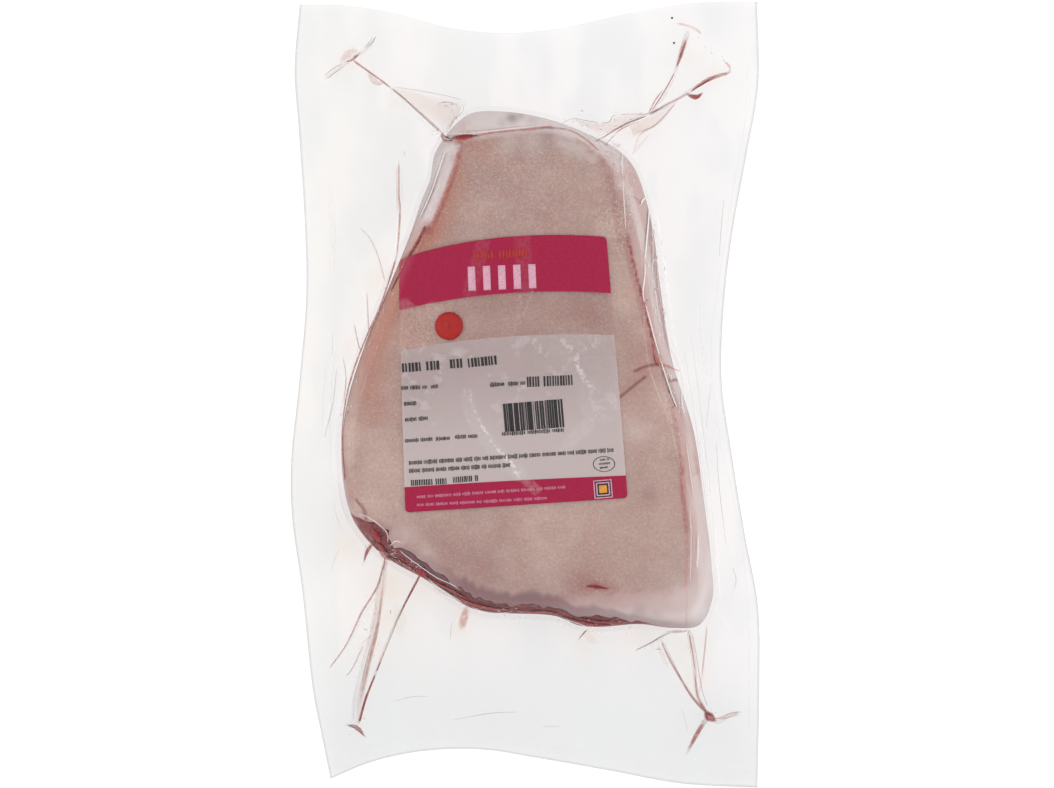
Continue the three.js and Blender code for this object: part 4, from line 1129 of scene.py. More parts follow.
class PackSizes(bpy.types.PropertyGroup):
    """Driving sizes of the pack."""

    width: length("Pouch width", "Overall width", round(float(POUCH_BOX[1][0] - POUCH_BOX[0][0]), 3))
    length: length("Pouch length", "Overall length", round(float(POUCH_BOX[1][1] - POUCH_BOX[0][1]), 3))
    seam_level: length("Seam level", "Height at which the films meet round the leg", 0.015)
    rim_level: length("Shoulder level", "Height of the leg's shoulder", 0.034)
    crown: length("Crown", "How far the middle stands above the shoulder", 0.012)
    shoulder_width: length("Shoulder width", "Mean width of the rounded flank", 0.012)
    film_gap: length("Film gap", "Clearance between film and leg", 0.00035)
    flange_thickness: length("Flange thickness", "Distance between the films outside the leg", 0.0005)
    rind_thickness: length("Rind thickness", "Thickness of skin and fat together", 0.0045)
    label_gap: length("Label gap", "Clearance between label and film", 0.00025)
    label_thickness: length("Label thickness", "Thickness of the label", 0.0002)


class PackColours(bpy.types.PropertyGroup):
    """Colours of the meat, the films and the print."""

    skin_light: colour("Skin light", "Lightest tone of the rind", "#cbada3")
    skin_dark: colour("Skin dark", "Darkest tone of the rind", "#ba9990")
    skin_rosy: colour("Skin rosy", "Rosy patches of the rind", "#c1958b")
    skin_tan: colour("Skin tan", "Light parts of the rind", "#dabcb0")
    skin_warm: colour("Skin warm", "Thin skin over warm fat", "#c47f69")
    skin_pore: colour("Skin pores", "Fine stipple of the rind", "#a5857b")
    skin_follicle: colour("Follicles", "Hair follicles", "#7d5c55")
    flank: colour("Flank", "Rind over the shoulder, seen through taut film", "#d3b5b0")
    fat: colour("Fat", "Firm white fat", "#e9dfdd")
    mauve: colour("Silver skin", "Bluish membrane and bruises", "#896c70")
    blush: colour("Blush", "Blood under the film", "#a44648")
    crack: colour("Cracks", "Juice in creases of the rind", "#83413c")
    lean: colour("Lean", "Muscle", "#962c2f")
    lean_dark: colour("Lean dark", "Shaded muscle", "#5c1a1d")
    membrane: colour("Membrane", "Thin grey skin on the muscle", "#7c595f")
    lean_light: colour("Lean light", "Moist highlights of the muscle", "#bf7270")
    juice_thin: colour("Juice thin", "Thin layers of juice", "#eda898")
    juice_deep: colour("Juice deep", "Deep layers of juice", "#94262f")
    magenta: colour("Band", "Printed bands of the label", "#b10f46")
    magenta_dark: colour("Band dark", "Darker stipple of the bands", "#a20b3d")
    panel: colour("Panel", "White ground of the label", "#e2d3d1")
    panel_cool: colour("Panel cool", "White ground where air is under it", "#dccdcd")
    ink: colour("Ink", "Black thermal print", "#1f1b1c")
    pale_ink: colour("Pale ink", "Light marks on the bands", "#d9a3b6")
    red_ink: colour("Red ink", "Red mark on the clear part", "#a80d04")
    faint_ink: colour("Faint ink", "Small marks on the lower band", "#d07c97")
    dull_ink: colour("Dull ink", "Dull red marks on the upper band", "#b22a1c")
    orange_ink: colour("Orange ink", "Orange square in the lower band", "#dd9a3a")


# ---- Pieces ----


def rind_lip(angle):
    """Inset of the rind's lip by direction, a little ragged."""
    turn = np.degrees(angle)
    ragged = 1.1 * noise(turn, 0 * turn, 5, SEED + 2) + 1.2 * noise(turn, 0 * turn, 1.5, SEED + 13)
    inset = np.interp(np.degrees(angle), LIP_ANGLES, LIP_INSETS, left=0, right=0)
    return inset + ragged * np.clip(inset / 3, 0, 1)


def spot_field(form, spots, x, y):
    """Soft round spots joined by their maximum."""
    field = 0 * x
    places = form.from_photo([(px, py) for px, py, _, _ in spots])
    for (cx, cy), (_, _, radius, strength) in zip(places, spots):
        field = np.maximum(field, strength * np.exp(-(((x - cx) ** 2 + (y - cy) ** 2) / radius**2)))
    return field


def band_field(form, bands, x, y, soft=0.7):
    """Soft bands along photo paths, joined by their maximum."""
    field = 0 * x
    for pixels, half_width, strength in bands:
        apart = distance_to(smooth(form.from_photo(pixels), 16), x, y)
        field = np.maximum(field, strength * smoothstep(half_width + soft, half_width - soft, apart))
    return field


def build_rind(form, colours):
    """The rind and its fat: a shell under the upper film, from the crown out to its lip.

    The grid runs round by angle and outward by ring. Its outer face is the leg's upper face, lowered
    by fine unevenness and the cracks; its inner face lies deeper by the rind's thickness, which thins
    to nothing at the leg's widest line where the rind wraps round.
    """
    spokes, rings = 850, 100
    angle = np.linspace(-np.pi, np.pi, spokes, endpoint=False)[None, :]
    limit = np.interp(angle, form.angles, form.reaches, period=2 * np.pi)
    lip = rind_lip(angle)
    share = np.linspace(0.004, 1, rings)[:, None]
    reach = (1 - (1 - share) ** 1.25) * (limit - lip - 0.05)
    x = form.centre[0] + reach * np.cos(angle)
    y = form.centre[1] + reach * np.sin(angle)
    upper, lower = form.meat_faces(x, y)
    inset = limit - reach
    cracks = np.min([distance_to(smooth(form.from_photo(path), 14), x, y) for path in SKIN_CRACKS], axis=0)
    crack = np.exp(-((cracks / 0.7) ** 2))
    dimples = 0.22 * (1 + noise(x, y, 16, SEED + 3)) + 0.07 * (1 + noise(x, y, 3.2, SEED + 4)) + 0.5 * crack
    rolled = smoothstep(0, 2.5, inset - lip)
    outer = upper - dimples * smoothstep(0, 5, inset) - (1 - rolled) * 0.8 * np.clip(lip / 2, 0, 1)
    thickness = form.rind * np.maximum(smoothstep(0, 6, inset), np.clip(lip / 3, 0, 1) * 0.7) + 0.15
    inner = np.maximum(outer - thickness, lower + 0.1)
    keep = np.r_[0 : rings - 12 : 8, rings - 12 : rings : 3, rings - 1]
    points = np.vstack([
        [[form.centre[0], form.centre[1], upper[0].mean()]],
        np.stack([x, y, outer], axis=-1).reshape(-1, 3),
        np.stack([x[keep], y[keep], inner[keep]], axis=-1)[::-1].reshape(-1, 3),
        [[form.centre[0], form.centre[1], upper[0].mean() - form.rind]],
    ])
    count = rings + len(keep)
    faces = capped(count, spokes)
    plan_x, plan_y = points[:, 0], points[:, 1]
    fields = rind_fields(form, plan_x, plan_y)
    fields["crack"] = np.exp(-((np.min([
        distance_to(smooth(form.from_photo(path), 14), plan_x, plan_y) for path in SKIN_CRACKS
    ], axis=0) / 0.75) ** 2)) * 0.8
    return new_piece("rind", points, faces, scalded_rind(colours), "pouch", fields)


def capped(rings, spokes):
    """Faces of a closed round body: a fan at the first point, rings outward and back, a fan at the last."""
    round_faces = (grid_faces(rings, spokes, wrap=True)[:, ::-1] + 1).tolist()
    spoke = np.arange(spokes)
    beside = (spoke + 1) % spokes
    first = np.column_stack([np.zeros(spokes, int), 1 + spoke, 1 + beside]).tolist()
    start = 1 + (rings - 1) * spokes
    last = np.column_stack([np.full(spokes, 1 + rings * spokes), start + beside, start + spoke]).tolist()
    return first + round_faces + last


def rind_fields(form, x, y):
    """How far in the skin's face a point is, and how fatty, pale, mauve or bloody the rind is there."""
    angle, reach, limit = form.polar(x, y)
    inset = limit - reach
    face = depth_inside(form.from_photo(SKIN_FACE), x, y)
    turn = np.degrees(angle)
    from_lip = inset - rind_lip(angle)
    fat_width = np.interp(turn, FAT_ANGLES, FAT_WIDTHS)
    at_lip = smoothstep(fat_width + 3, np.maximum(fat_width - 3, 0), from_lip) * np.clip(fat_width / 3, 0, 1)
    at_lip *= np.interp(turn, (-75, -60, -50), (0.3, 0.45, 0.8))
    warm = np.exp(-((distance_to(smooth(form.from_photo(WARM_EDGE), 24), x, y) / WARM_WIDTH) ** 2))
    warm *= np.interp(turn % 360, WARM_ANGLES, WARM_LEVELS, 0, 0)
    # The shank's end and the left shoulder below it show fat outside the skin's face
    shank = smoothstep(66, 76, turn) * (1 - smoothstep(118, 127, turn))
    bare = shank * smoothstep(1.5, -2.0, face)
    side = smoothstep(104, 110, turn) * (1 - smoothstep(118, 127, turn))
    veiled = 0.8 * side * smoothstep(6.5, 4.5, inset)
    mauve = np.maximum(spot_field(form, MAUVES, x, y), veiled * 0.3)
    mauve = np.maximum(mauve, band_field(form, MAUVE_BANDS, x, y))
    grey_width = np.interp(turn, (-135, -112, -85, -65), (2.0, 6.0, 7.5, 5.0))
    grey_edge = smoothstep(grey_width + 2.5, grey_width - 2.5, from_lip)
    grey_edge *= np.interp(turn, GREY_ANGLES, GREY_LEVELS)
    rosy_rim = 0.35 * smoothstep(5, 0, np.abs(face + 1)) * (1 - shank * 0.3) * (turn > -170)
    left = np.interp(turn % 360, (118, 128, 155, 172), (0, 1, 1, 0))
    rosy_rim = np.maximum(rosy_rim * 0.5, 0.35 * left * smoothstep(4, 1, inset))
    blush = np.maximum(spot_field(form, BLUSHES, x, y), band_field(form, BLUSH_BANDS, x, y))
    return {
        "face": face,
        "tan": spot_field(form, TANS, x, y),
        "warm": np.maximum(spot_field(form, WARMS, x, y), warm),
        "stipple": spot_field(form, STIPPLES, x, y),
        "fat": np.clip(np.maximum(at_lip, bare), 0, 1) * 0.9,
        "mauve": np.clip(np.maximum(mauve, grey_edge), 0, 1) * 0.9,
        "pale": np.maximum(spot_field(form, PALES, x, y), band_field(form, PALE_BANDS, x, y)),
        "blush": np.maximum(blush, rosy_rim),
    }


def build_lean(form, colours):
    """The lean under the rind: a closed round body inside the films, below the rind where it is covered."""
    spokes, rings = 540, 46
    angle = np.linspace(-np.pi, np.pi, spokes, endpoint=False)[None, :]
    limit = np.interp(angle, form.angles, form.reaches, period=2 * np.pi)
    share = np.linspace(0.01, 1, rings)[:, None]
    reach = (1 - (1 - share) ** 1.6) * (limit - 0.12)
    x = form.centre[0] + reach * np.cos(angle)
    y = form.centre[1] + reach * np.sin(angle)
    upper, lower = form.meat_faces(x, y)
    inset = limit - reach
    lip = rind_lip(angle)
    covered = smoothstep(-0.5, 2.0, inset - lip)
    ragged = 0.5 * (1 + noise(x, y, 5, SEED + 5)) + 0.25 * (1 + noise(x, y, 1.8, SEED + 6))
    thickness = form.rind * np.maximum(smoothstep(0, 6, inset), np.clip(lip / 3, 0, 1) * 0.7)
    sunk = np.where(lip > 0.3, 0.5 + ragged * smoothstep(0, 2.5, inset), 0.5)
    top = np.maximum(upper - lerp(sunk, thickness + 1.2, covered), (upper + lower) / 2)
    cut = cut_share(angle)
    bottom = lower + 0.25 + 0.5 * (1 + noise(x, y, 8, SEED + 7)) * smoothstep(0, 8, inset)
    bottom = np.minimum(bottom, top - 0.02)
    points = np.vstack([
        [[form.centre[0], form.centre[1], top[0].mean()]],
        np.stack([x, y, top], axis=-1).reshape(-1, 3),
        np.stack([x, y, bottom], axis=-1)[::-1].reshape(-1, 3),
        [[form.centre[0], form.centre[1], bottom[0].mean()]],
    ])
    turn, reach_all, limit_all = form.polar(points[:, 0], points[:, 1])
    inset_all = limit_all - reach_all
    below = np.arange(len(points)) > rings * spokes
    lean = np.where(below, np.maximum(smoothstep(10, 16, inset_all), cut_share(turn)), cut_share(turn))
    island = smoothstep(0.1, 0.5, noise(points[:, 0], points[:, 1], 26, SEED + 8))
    lean = np.where(below & (inset_all > 14), lean * (1 - 0.7 * island), lean)
    # A grey membrane covers the inner side of the strip that is laid bare
    silver = np.interp(np.degrees(turn), SILVER_ANGLES, SILVER_LEVELS, left=0, right=0)
    across = inset_all / np.maximum(rind_lip(turn), 0.5)
    return new_piece("lean", points, capped(2 * rings, spokes), cut_lean(colours), "pouch",
                     {"lean": lean, "silver": silver * smoothstep(0.56, 0.74, across)})


def cut_share(angle):
    """1 where the knife has laid the lean bare along the lower edge, 0 elsewhere."""
    turn = np.degrees(angle)
    return smoothstep(-157, -151, turn) * (1 - smoothstep(-64, -56, turn))


def build_film(form):
    """Both films: a grid spanned between the pouch's four edges.

    A point is the blend of the left and right edges, plus that of the lower and upper edges, less
    that of the four corners. The faces' heights come from the form of the pack.
    """
    columns, rows = 172, 288
    u = np.linspace(0, 1, columns)[None, :, None]
    v = np.linspace(0, 1, rows)[:, None, None]
    lower_edge, upper_edge = (smooth(form.plan(edge), columns)[None] for edge in (LOWER_EDGE, UPPER_EDGE))
    left_edge, right_edge = (smooth(form.plan(edge), rows)[:, None] for edge in (LEFT_EDGE, RIGHT_EDGE))
    low_corners, high_corners = (lerp(edge[:, :1], edge[:, -1:], u) for edge in (lower_edge, upper_edge))
    corners = lerp(low_corners, high_corners, v)
    plan = lerp(left_edge, right_edge, u) + lerp(lower_edge, upper_edge, v) - corners
    top, bottom = form.film_faces(plan[..., 0], plan[..., 1])
    points, faces = slab(np.dstack([plan, top]), np.dstack([plan, bottom]))
    spread = np.concatenate([np.broadcast_to(share, (rows, columns, 1)) for share in (u, v)], axis=2)
    layout = np.tile(spread.reshape(-1, 2) * form.half * 2 * MM, (2, 1))
    material = clear_film("nylon laminate film", "#fcfcfc", "#f5f4f4", 0.008, 0.1, "sheet")
    _, reach, limit = form.polar(points[:, 0], points[:, 1])
    edge = np.minimum(np.minimum(u, 1 - u) * form.half[0], v * form.half[1])[..., 0] * 2
    fields = {
        "loose": smoothstep(-3, 5, reach - limit),
        "rim": np.tile(smoothstep(1.2, 0.0, edge).ravel(), 2),
        "flushed": spot_field(form, FLUSHED, points[:, 0], points[:, 1]),
    }
    return new_piece("film", points, faces, material, "pouch", fields, layout)


def build_pleats(form):
    """Folds of the films, as lens-shaped strips along their paths and webs spanned between them.

    The lines of painted shade that edge them, the streaks of painted highlight, and fine flecks of
    both kinds along the busiest creases are pieces of their own.
    """
    folds = clear_film("folded laminate film", "#fdfbfb", "#e6dcdc", 0.04, 0.12)
    spanned = clear_film("stretched web of film", "#fcf7f5", "#efe3e2", 0.12, 0.15, "soft", "#f8ebe8")
    # Dark strips of painted shade along the folds' edges, with dark flecks of the same painted shade
    shade = clear_film("painted fold shade", "#ae8d8a", "#97797a", 0.1, 0.2, "soft", "#8a6664")
    # White hazy strips of painted highlight, where the lamps' reflection would lie on the creases
    stretched = clear_film("painted highlight film", "#ffffff", "#f4f4f4", 0.85, 0.2, "soft", "#ffffff")
    webs = [web(form, first, second) for first, second in WEBS]
    edges = drawn_strips(form, DARK_LINES, 0.3, 0.35, spacing=0.6)
    edges += flecks(form, FLECKS, 0.4, 0.2, 0.4, SEED)
    streaks = drawn_strips(form, WHITE_LINES, 0.3, 0.75, spacing=0.8)
    streaks += flecks(form, FLECKS, 1.6, 0.2, 0.8, SEED + 1)
    new_piece("pleats", *joined_piece(drawn_strips(form, PLEATS, 0.9, -0.1), folds))
    new_piece("webs", *joined_piece(webs, spanned))
    # The painted shade and the painted highlights are pieces of their own
    new_piece("painted_fold_shade", *joined_piece(edges, shade))
    new_piece("painted_highlight_lines", *joined_piece(streaks, stretched))


def joined_piece(parts, material, slot="pouch"):
    """What new_piece takes after the name, for several parts in one."""
    points, faces, fields = joined(parts)
    return points, faces, material, slot, fields


def build_juice(form, colours):
    """Juice between the films, as thin lens-shaped strips just under the pleats."""
    parts = drawn_strips(form, JUICE, 0.5, 0.1, spacing=0.7)
    new_piece("juice", *joined_piece(parts, red_juice(colours)))


LABEL_CORNER = 2.0  # radius of its rounded corners


def label_plan(form, u, v):
    """Plan points of the label: across by u, up by v, with a bowed upper edge and rounded corners.

    Near a corner the square grid is pulled into a quarter disc: a point's offsets from the corner's
    centre are scaled by the larger of them over their length.
    """
    lower_left, lower_right = form.plan(LABEL_LOWER_LEFT), form.plan(LABEL_LOWER_RIGHT)
    upper_left, upper_right = form.plan(LABEL_UPPER_LEFT), form.plan(LABEL_UPPER_RIGHT)
    width = np.linalg.norm(lower_right - lower_left)
    height = np.linalg.norm(upper_left - lower_left)
    s = np.minimum(u, 1 - u) * width
    t = np.minimum(v, 1 - v) * height
    a = np.maximum(LABEL_CORNER - s, 0)
    b = np.maximum(LABEL_CORNER - t, 0)
    pull = np.where((a > 0) & (b > 0), np.maximum(a, b) / np.maximum(np.hypot(a, b), 1e-9), 1)
    u = u + np.sign(0.5 - u) * a * (1 - pull) / width
    v = v + np.sign(0.5 - v) * b * (1 - pull) / height
    u, v = u[..., None], v[..., None]
    low = lerp(lower_left, lower_right, u)
    high = lerp(upper_left, upper_right, u) + form.plan(LABEL_BOW) * 4 * u * (1 - u)
    return lerp(low, high, v)


def build_label(form, colours):
    """The label: a thin closed sheet over the upper film."""
    u, v = np.meshgrid(np.linspace(0, 1, 200), np.linspace(0, 1, 240))
    plan = label_plan(form, u, v)
    x, y = plan[..., 0], plan[..., 1]
    top = form.label_top(x, y)
    points, faces = slab(np.dstack([plan, top]), np.dstack([plan, top - form.label_thickness]))
    layout = np.tile(np.column_stack([u.ravel(), v.ravel()]), (2, 1))
    fields = {"glare": np.tile(band_field(form, GLARES, x, y, 1.0).ravel(), 2)}
    return new_piece("label_sheet", points, faces, thermal_label(colours), "label", fields, layout)


# Where the lamps glare on the label, as bands: path in photo pixels, half width in millimetres, strength
GLARES = [
    ([(470, 395), (474, 408), (481, 424)], 0.7, 0.4), ([(481, 424), (492, 442), (505, 457)], 1.2, 0.42),
    ([(503, 455), (512, 466), (519, 475)], 1.9, 0.45), ([(516, 468), (526, 480), (536, 490)], 2.4, 0.12),
    ([(467, 394), (470, 410), (478, 428), (494, 448), (510, 464), (520, 474)], 3.6, 0.2),
    ([(572, 344), (592, 366), (602, 400)], 12.0, 0.14), ([(490, 352), (540, 350), (580, 350)], 8.0, 0.06),
    ([(622, 395), (602, 410), (590, 422)], 0.6, 0.35), ([(606, 406), (588, 422), (572, 444)], 2.6, 0.2),
    ([(588, 424), (576, 436), (566, 450)], 3.4, 0.2), ([(577, 354), (577, 364), (582, 374)], 1.4, 0.42),
    ([(582, 374), (586, 382), (593, 388)], 1.5, 0.36), ([(563, 341), (568, 345), (570, 350)], 2.0, 0.32),
    ([(534, 341), (538, 346), (540, 350)], 2.0, 0.28), ([(580, 344), (590, 348), (598, 342)], 1.6, 0.26),
    ([(556, 334), (580, 340), (606, 334)], 4.4, 0.16), ([(560, 352), (572, 362), (590, 360)], 3.0, 0.12),
    ([(452, 348), (458, 354), (460, 358)], 1.2, 0.2), ([(502, 376), (506, 384)], 1.6, 0.14),
    ([(520, 296), (519, 310), (516, 328)], 1.4, 0.16), ([(532, 292), (527, 306), (518, 326)], 0.5, 0.28),
    ([(424, 344), (420, 352)], 1.2, 0.2), ([(404, 350), (408, 356)], 1.4, 0.16),
    ([(484, 238), (478, 262), (470, 292)], 3.6, 0.03), ([(522, 236), (524, 262), (526, 294)], 4.2, 0.03),
    ([(404, 306), (418, 318), (432, 310)], 4.0, 0.1), ([(598, 300), (606, 320), (604, 334)], 3.0, 0.12),
    ([(480, 300), (474, 314), (470, 330)], 2.4, 0.08),
]

# Marks on the label, all plain strokes. Rows: left end, right end, height and width of a stroke
DARK_ROWS = [
    ((402, 368), (440, 365), 4.6, 1.1), ((450, 364), (463, 363), 4.6, 1.1),
    ((468, 363), (496, 360), 4.6, 1.1), ((401, 388), (427, 387), 1.9, 0.4),
    ((431, 387), (440, 386), 1.9, 0.4), ((404, 404), (417, 403), 2.0, 0.4),
    ((405, 420), (428, 418), 1.9, 0.4), ((405, 441), (432, 439), 1.9, 0.4),
    ((436, 439), (451, 438), 1.8, 0.4), ((455, 437), (477, 436), 1.9, 0.4),
    ((490, 385), (504, 384), 2.0, 0.4), ((508, 384), (525, 383), 2.0, 0.4),
    ((527, 382), (573, 380), 5.2, 0.8), ((502, 434), (563, 430), 1.8, 0.5),
    ((409, 463), (613, 450), 2.0, 0.35), ((409, 471), (511, 465), 2.0, 0.35),
    ((411, 483), (447, 481), 3.0, 0.55), ((453, 480), (478, 478), 3.0, 0.55),
    ((600, 460), (609, 459), 0.9, 0.3), ((599, 464), (610, 463), 1.0, 0.3),
    ((600, 468), (608, 467), 0.9, 0.3),
]
FAINT_ROWS = [
    ((417, 497), (565, 487), 1.5, 0.35), ((417, 505), (547, 498), 1.5, 0.35),
]
BLOCKS = ((466, 279), (538, 276), 12.5)  # a row of five broad bars on the upper band
BLOCK_WIDTH = 3.8
RED_ROW = ((474, 257), (528, 252), 4.6, 1.0)
BARCODE = ((504, 418), (563, 413))  # middle of its left and right ends
BARCODE_HEIGHT = 14.5
BARS_AND_GAPS = 59
BAR_SPREAD = 1.4  # a bar is printed this much wider than its share of the row
RED_DOT = (449, 326)
RED_DOT_RADIUS = 7.3
BADGE = (603, 489)
BADGE_SIZE = 9.5
OVAL = (604, 464)
OVAL_SIZE = (11.5, 8.0)
SPECKS = [(672, 18), (674, 43)]
SPECK_SIZE = 1.2
PRINT_LIFT = 0.06  # between a mark and the label, so that they don't share a face
PRINT_THICKNESS = 0.04
PLATE = np.array([(1.0, 0.0), (1.0, 1.0), (0.4, 1.0), (-0.4, 1.0), (-1.0, 1.0), (-1.0, 0.0)])


def upright(middle, along, width, height, base, lift=PRINT_LIFT):
    """A thin plate across a row: its middle line stands at right angles to the row."""
    up = np.array([-along[1], along[0]]) * height / 2
    count = max(2, int(height / 1.8) + 1)
    path = np.linspace(middle - up, middle + up, count)
    heights = np.full(count, PRINT_THICKNESS)
    return strip(path, np.full(count, width / 2), heights, PLATE, lambda x, y: base(x, y) + lift)


def stroke_row(form, rng, start, end, height, width, base):
    """Plain upright strokes of uneven width in words of uneven length, from one photo pixel to another."""
    ends = form.from_photo([start, end])
    reach = np.linalg.norm(ends[1] - ends[0])
    along = (ends[1] - ends[0]) / reach
    parts, place, left_in_word = [], 0.0, rng.integers(5, 16)
    while place < reach:
        thick = width * rng.uniform(0.7, 1.3)
        tall = height * (1.0 if height > 2.9 else rng.choice([0.85, 0.85, 1.0, 1.25]))
        parts.append(upright(ends[0] + along * (place + thick / 2), along, thick, tall, base))
        left_in_word -= 1
        place += thick + width * rng.uniform(0.45, 0.9) + (width * 2.2 if left_in_word == 0 else 0)
        if left_in_word <= 0:
            left_in_word = rng.integers(5, 16)
    return parts


def disc(centre, size, base, lift=PRINT_LIFT, inner=0.0, around=32):
    """A flat disc or ring of elliptic outline: rings out over the upper side and back under it."""
    turn = np.arange(around) * 2 * np.pi / around
    outward = [max(inner, 0.02), lerp(inner, 1, 0.5), 1.0]
    shares = np.array(outward + outward[::-1])
    high = np.array([1, 1, 1, 0, 0, 0]) * PRINT_THICKNESS
    x = centre[0] + shares[:, None] * np.cos(turn) * size[0] / 2
    y = centre[1] + shares[:, None] * np.sin(turn) * size[1] / 2
    z = base(x, y) + lift + high[:, None]
    points = np.stack([x, y, z], axis=-1).reshape(-1, 3)
    quads = grid_faces(6, around, wrap=True)[:, ::-1].tolist()
    column = np.arange(around)
    beside = (column + 1) % around
    quads += np.column_stack([5 * around + beside, 5 * around + column, column, beside])[:, ::-1].tolist()
    return points, quads, np.ones((len(points), 2))


def build_print(form, colours):
    """The marks on the label: rows of plain strokes, broad bars, a row of bars, a dot, an oval, a badge."""
    top = form.label_top
    rng = np.random.default_rng(SEED)
    ends = form.from_photo(BARCODE)
    reach = np.linalg.norm(ends[1] - ends[0])
    along = (ends[1] - ends[0]) / reach
    edges = np.concatenate([[0], np.cumsum(rng.integers(1, 4, BARS_AND_GAPS))]).astype(float)
    edges *= reach / edges[-1]
    black = [
        upright(ends[0] + along * (left + right) / 2, along, BAR_SPREAD * (right - left), BARCODE_HEIGHT, top)
        for left, right in zip(edges[0:-1:2], edges[1::2])
    ]
    for row in DARK_ROWS:
        black += stroke_row(form, rng, *row, top)
    black.append(disc(form.from_photo([OVAL])[0], OVAL_SIZE, top, inner=0.93))
    for place in form.from_photo(SPECKS):
        black.append(disc(place, (SPECK_SIZE, SPECK_SIZE), form.film_top, lift=0.3, around=12))
    faint = [part for row in FAINT_ROWS for part in stroke_row(form, rng, *row, top)]
    pale = []
    first, last, tall = BLOCKS
    block_ends = form.from_photo([first, last])
    row_along = (block_ends[1] - block_ends[0]) / np.linalg.norm(block_ends[1] - block_ends[0])
    for share in np.linspace(0.08, 0.92, 5):
        pale.append(upright(lerp(block_ends[0], block_ends[1], share), row_along, BLOCK_WIDTH, tall, top))
    badge = form.from_photo([BADGE])[0]
    orange = []
    shares, lifts = (1.0, 0.88, 0.74, 0.6, 0.42), (0.06, 0.11, 0.16, 0.21, 0.26)
    for parts, share, lift in zip((pale, black, pale, black, orange), shares, lifts):
        parts.append(upright(badge, along, BADGE_SIZE * share, BADGE_SIZE * share, top, lift))
    red = [disc(form.from_photo([RED_DOT])[0], (2 * RED_DOT_RADIUS, 2 * RED_DOT_RADIUS), top)]
    for name, parts, tone, worn in (
        ("dark_print", black, colours.ink, 0.15), ("pale_print", pale, colours.pale_ink, 0.35),
        ("red_print", red, colours.red_ink, 0.15), ("orange_print", orange, colours.orange_ink, 0.3),
        ("faint_print", faint, colours.faint_ink, 0.4),
        ("dull_print", stroke_row(form, rng, *RED_ROW, top), colours.dull_ink, 0.5),
    ):
        new_piece(name, *joined_piece(parts, thermal_ink(name.replace("_", " "), tone, worn), "label"))


# ---- Stage ----


def build_stage():
    """White table, two narrow lamps at the sides, an even pale surround and the camera overhead."""
    mesh = bpy.data.meshes.new("table")
    edge, level = 3.0, -0.0002
    corners = [(-edge, -edge, level), (edge, -edge, level), (edge, edge, level), (-edge, edge, level)]
    mesh.from_pydata(corners, [], [(0, 1, 2, 3)])
    mesh.materials.append(plain_floor())
    floor = bpy.data.objects.new("table", mesh)
    bpy.context.collection.objects.link(floor)
    for name, side, power in (("left strip", -1, 1.6), ("right strip", 1, 2.2)):
        lamp = bpy.data.lights.new(name, "AREA")
        lamp.shape = "RECTANGLE"
        lamp.size = 0.08
        lamp.size_y = 1.2
        lamp.energy = power
        stand = bpy.data.objects.new(name, lamp)
        stand.location = (side * 1.25, 0.1, 0.65)
        stand.rotation_euler = (0, side * radians(62), 0)
        bpy.context.collection.objects.link(stand)
    world = bpy.data.worlds.new("pale surround")
    world.use_nodes = True
    world.node_tree.nodes["Background"].inputs[0].default_value = (1, 1, 1, 1)
    world.node_tree.nodes["Background"].inputs[1].default_value = 0.85
    scene = bpy.context.scene
    scene.world = world
    scene.view_settings.view_transform = "Standard"
    camera = bpy.data.cameras.new("camera")
    camera.sensor_width = SENSOR_WIDTH
    camera.lens = CAMERA_HEIGHT * SENSOR_WIDTH / (IMAGE_WIDTH * TABLE_MM_PER_PX)
    eye = bpy.data.objects.new("camera", camera)
    eye.location = (PHOTO_CENTRE[0] * MM, PHOTO_CENTRE[1] * MM, CAMERA_HEIGHT * MM)
    bpy.context.collection.objects.link(eye)
    scene.camera = eye


# ---- Operators, panel and registration ----


def form_of(context):
    return PackForm(context.scene.pack_sizes)


class PACK_OT_lean(bpy.types.Operator):
    """Adds the lean of the leg"""

    bl_idname = "vacuum_pack.add_lean"
    bl_label = "Lean"

    def execute(self, context):
        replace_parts(build_lean(form_of(context), context.scene.pack_colours), "pouch")
        return {"FINISHED"}


class PACK_OT_rind(bpy.types.Operator):
    """Adds the rind with its fat"""

    bl_idname = "vacuum_pack.add_rind"
    bl_label = "Rind"

    def execute(self, context):
        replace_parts(build_rind(form_of(context), context.scene.pack_colours), "pouch")
        return {"FINISHED"}


class PACK_OT_film(bpy.types.Operator):
    """Adds the two films of the pouch"""

    bl_idname = "vacuum_pack.add_film"
    bl_label = "Film"

    def execute(self, context):
        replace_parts(build_film(form_of(context)), "pouch")
        return {"FINISHED"}


class PACK_OT_pleats(bpy.types.Operator):
    """Adds the folds of the films"""

    bl_idname = "vacuum_pack.add_pleats"
    bl_label = "Pleats"

    def execute(self, context):
        build_pleats(form_of(context))
        return {"FINISHED"}


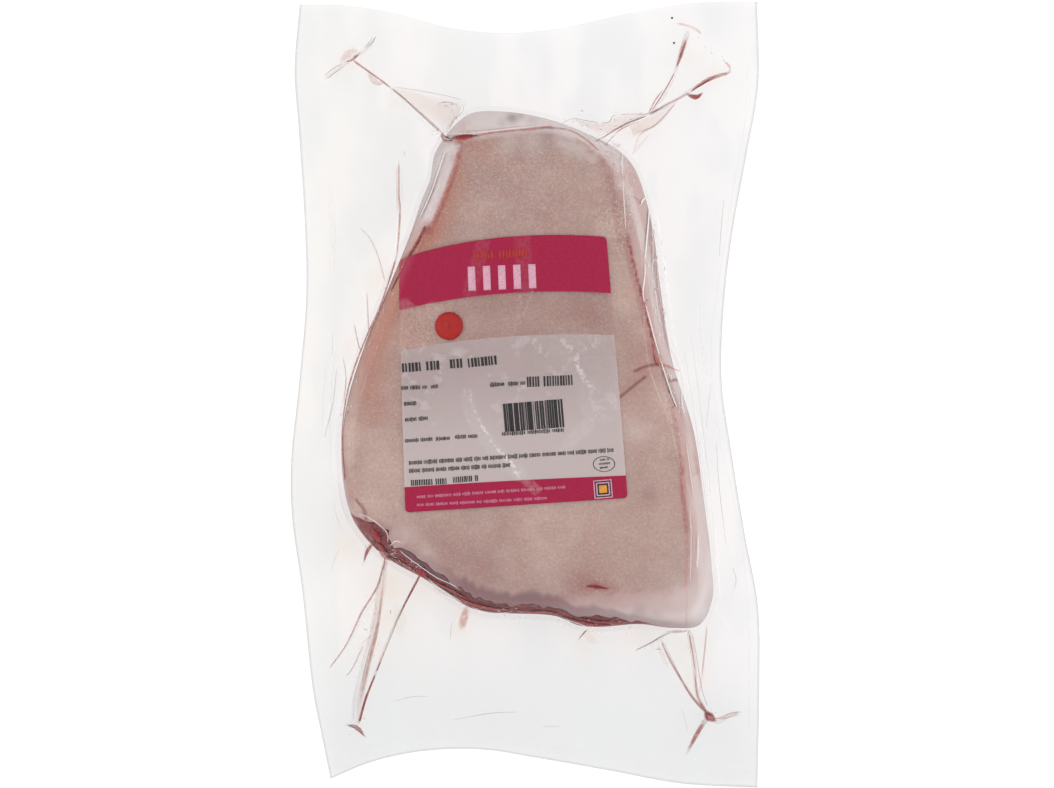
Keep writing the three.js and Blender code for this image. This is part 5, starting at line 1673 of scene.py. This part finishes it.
class PACK_OT_juice(bpy.types.Operator):
    """Adds the juice in the folds"""

    bl_idname = "vacuum_pack.add_juice"
    bl_label = "Juice"

    def execute(self, context):
        build_juice(form_of(context), context.scene.pack_colours)
        return {"FINISHED"}


class PACK_OT_label(bpy.types.Operator):
    """Adds the label"""

    bl_idname = "vacuum_pack.add_label"
    bl_label = "Label"

    def execute(self, context):
        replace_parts(build_label(form_of(context), context.scene.pack_colours), "label")
        return {"FINISHED"}


class PACK_OT_print(bpy.types.Operator):
    """Adds the marks printed on the label"""

    bl_idname = "vacuum_pack.add_print"
    bl_label = "Print"

    def execute(self, context):
        build_print(form_of(context), context.scene.pack_colours)
        return {"FINISHED"}


class PACK_OT_stage(bpy.types.Operator):
    """Adds the table, the light and the camera"""

    bl_idname = "vacuum_pack.add_stage"
    bl_label = "Stage"

    def execute(self, context):
        build_stage()
        return {"FINISHED"}


PIECE_OPERATORS = (
    PACK_OT_stage, PACK_OT_lean, PACK_OT_rind, PACK_OT_film, PACK_OT_pleats, PACK_OT_juice, PACK_OT_label,
    PACK_OT_print,
)


class PACK_PT_panel(bpy.types.Panel):
    """Lists the pieces of the pack and their settings"""

    bl_idname = "PACK_PT_panel"
    bl_label = "Vacuum Pack"
    bl_space_type = "VIEW_3D"
    bl_region_type = "UI"
    bl_category = "Vacuum Pack"

    def draw(self, context):
        for operator in PIECE_OPERATORS:
            self.layout.operator(operator.bl_idname)
        for settings in (context.scene.pack_sizes, context.scene.pack_colours):
            for key in type(settings).__annotations__:
                self.layout.prop(settings, key)


CLASSES = (PackSizes, PackColours, *PIECE_OPERATORS, PACK_PT_panel)


def register():
    for cls in CLASSES:
        bpy.utils.register_class(cls)
    bpy.types.Scene.pack_sizes = bpy.props.PointerProperty(type=PackSizes)
    bpy.types.Scene.pack_colours = bpy.props.PointerProperty(type=PackColours)


def unregister():
    del bpy.types.Scene.pack_colours
    del bpy.types.Scene.pack_sizes
    for cls in reversed(CLASSES):
        bpy.utils.unregister_class(cls)


def main():
    register()
    for operator in PIECE_OPERATORS:
        group, name = operator.bl_idname.split(".")
        getattr(getattr(bpy.ops, group), name)()


if __name__ == "__main__":
    main()
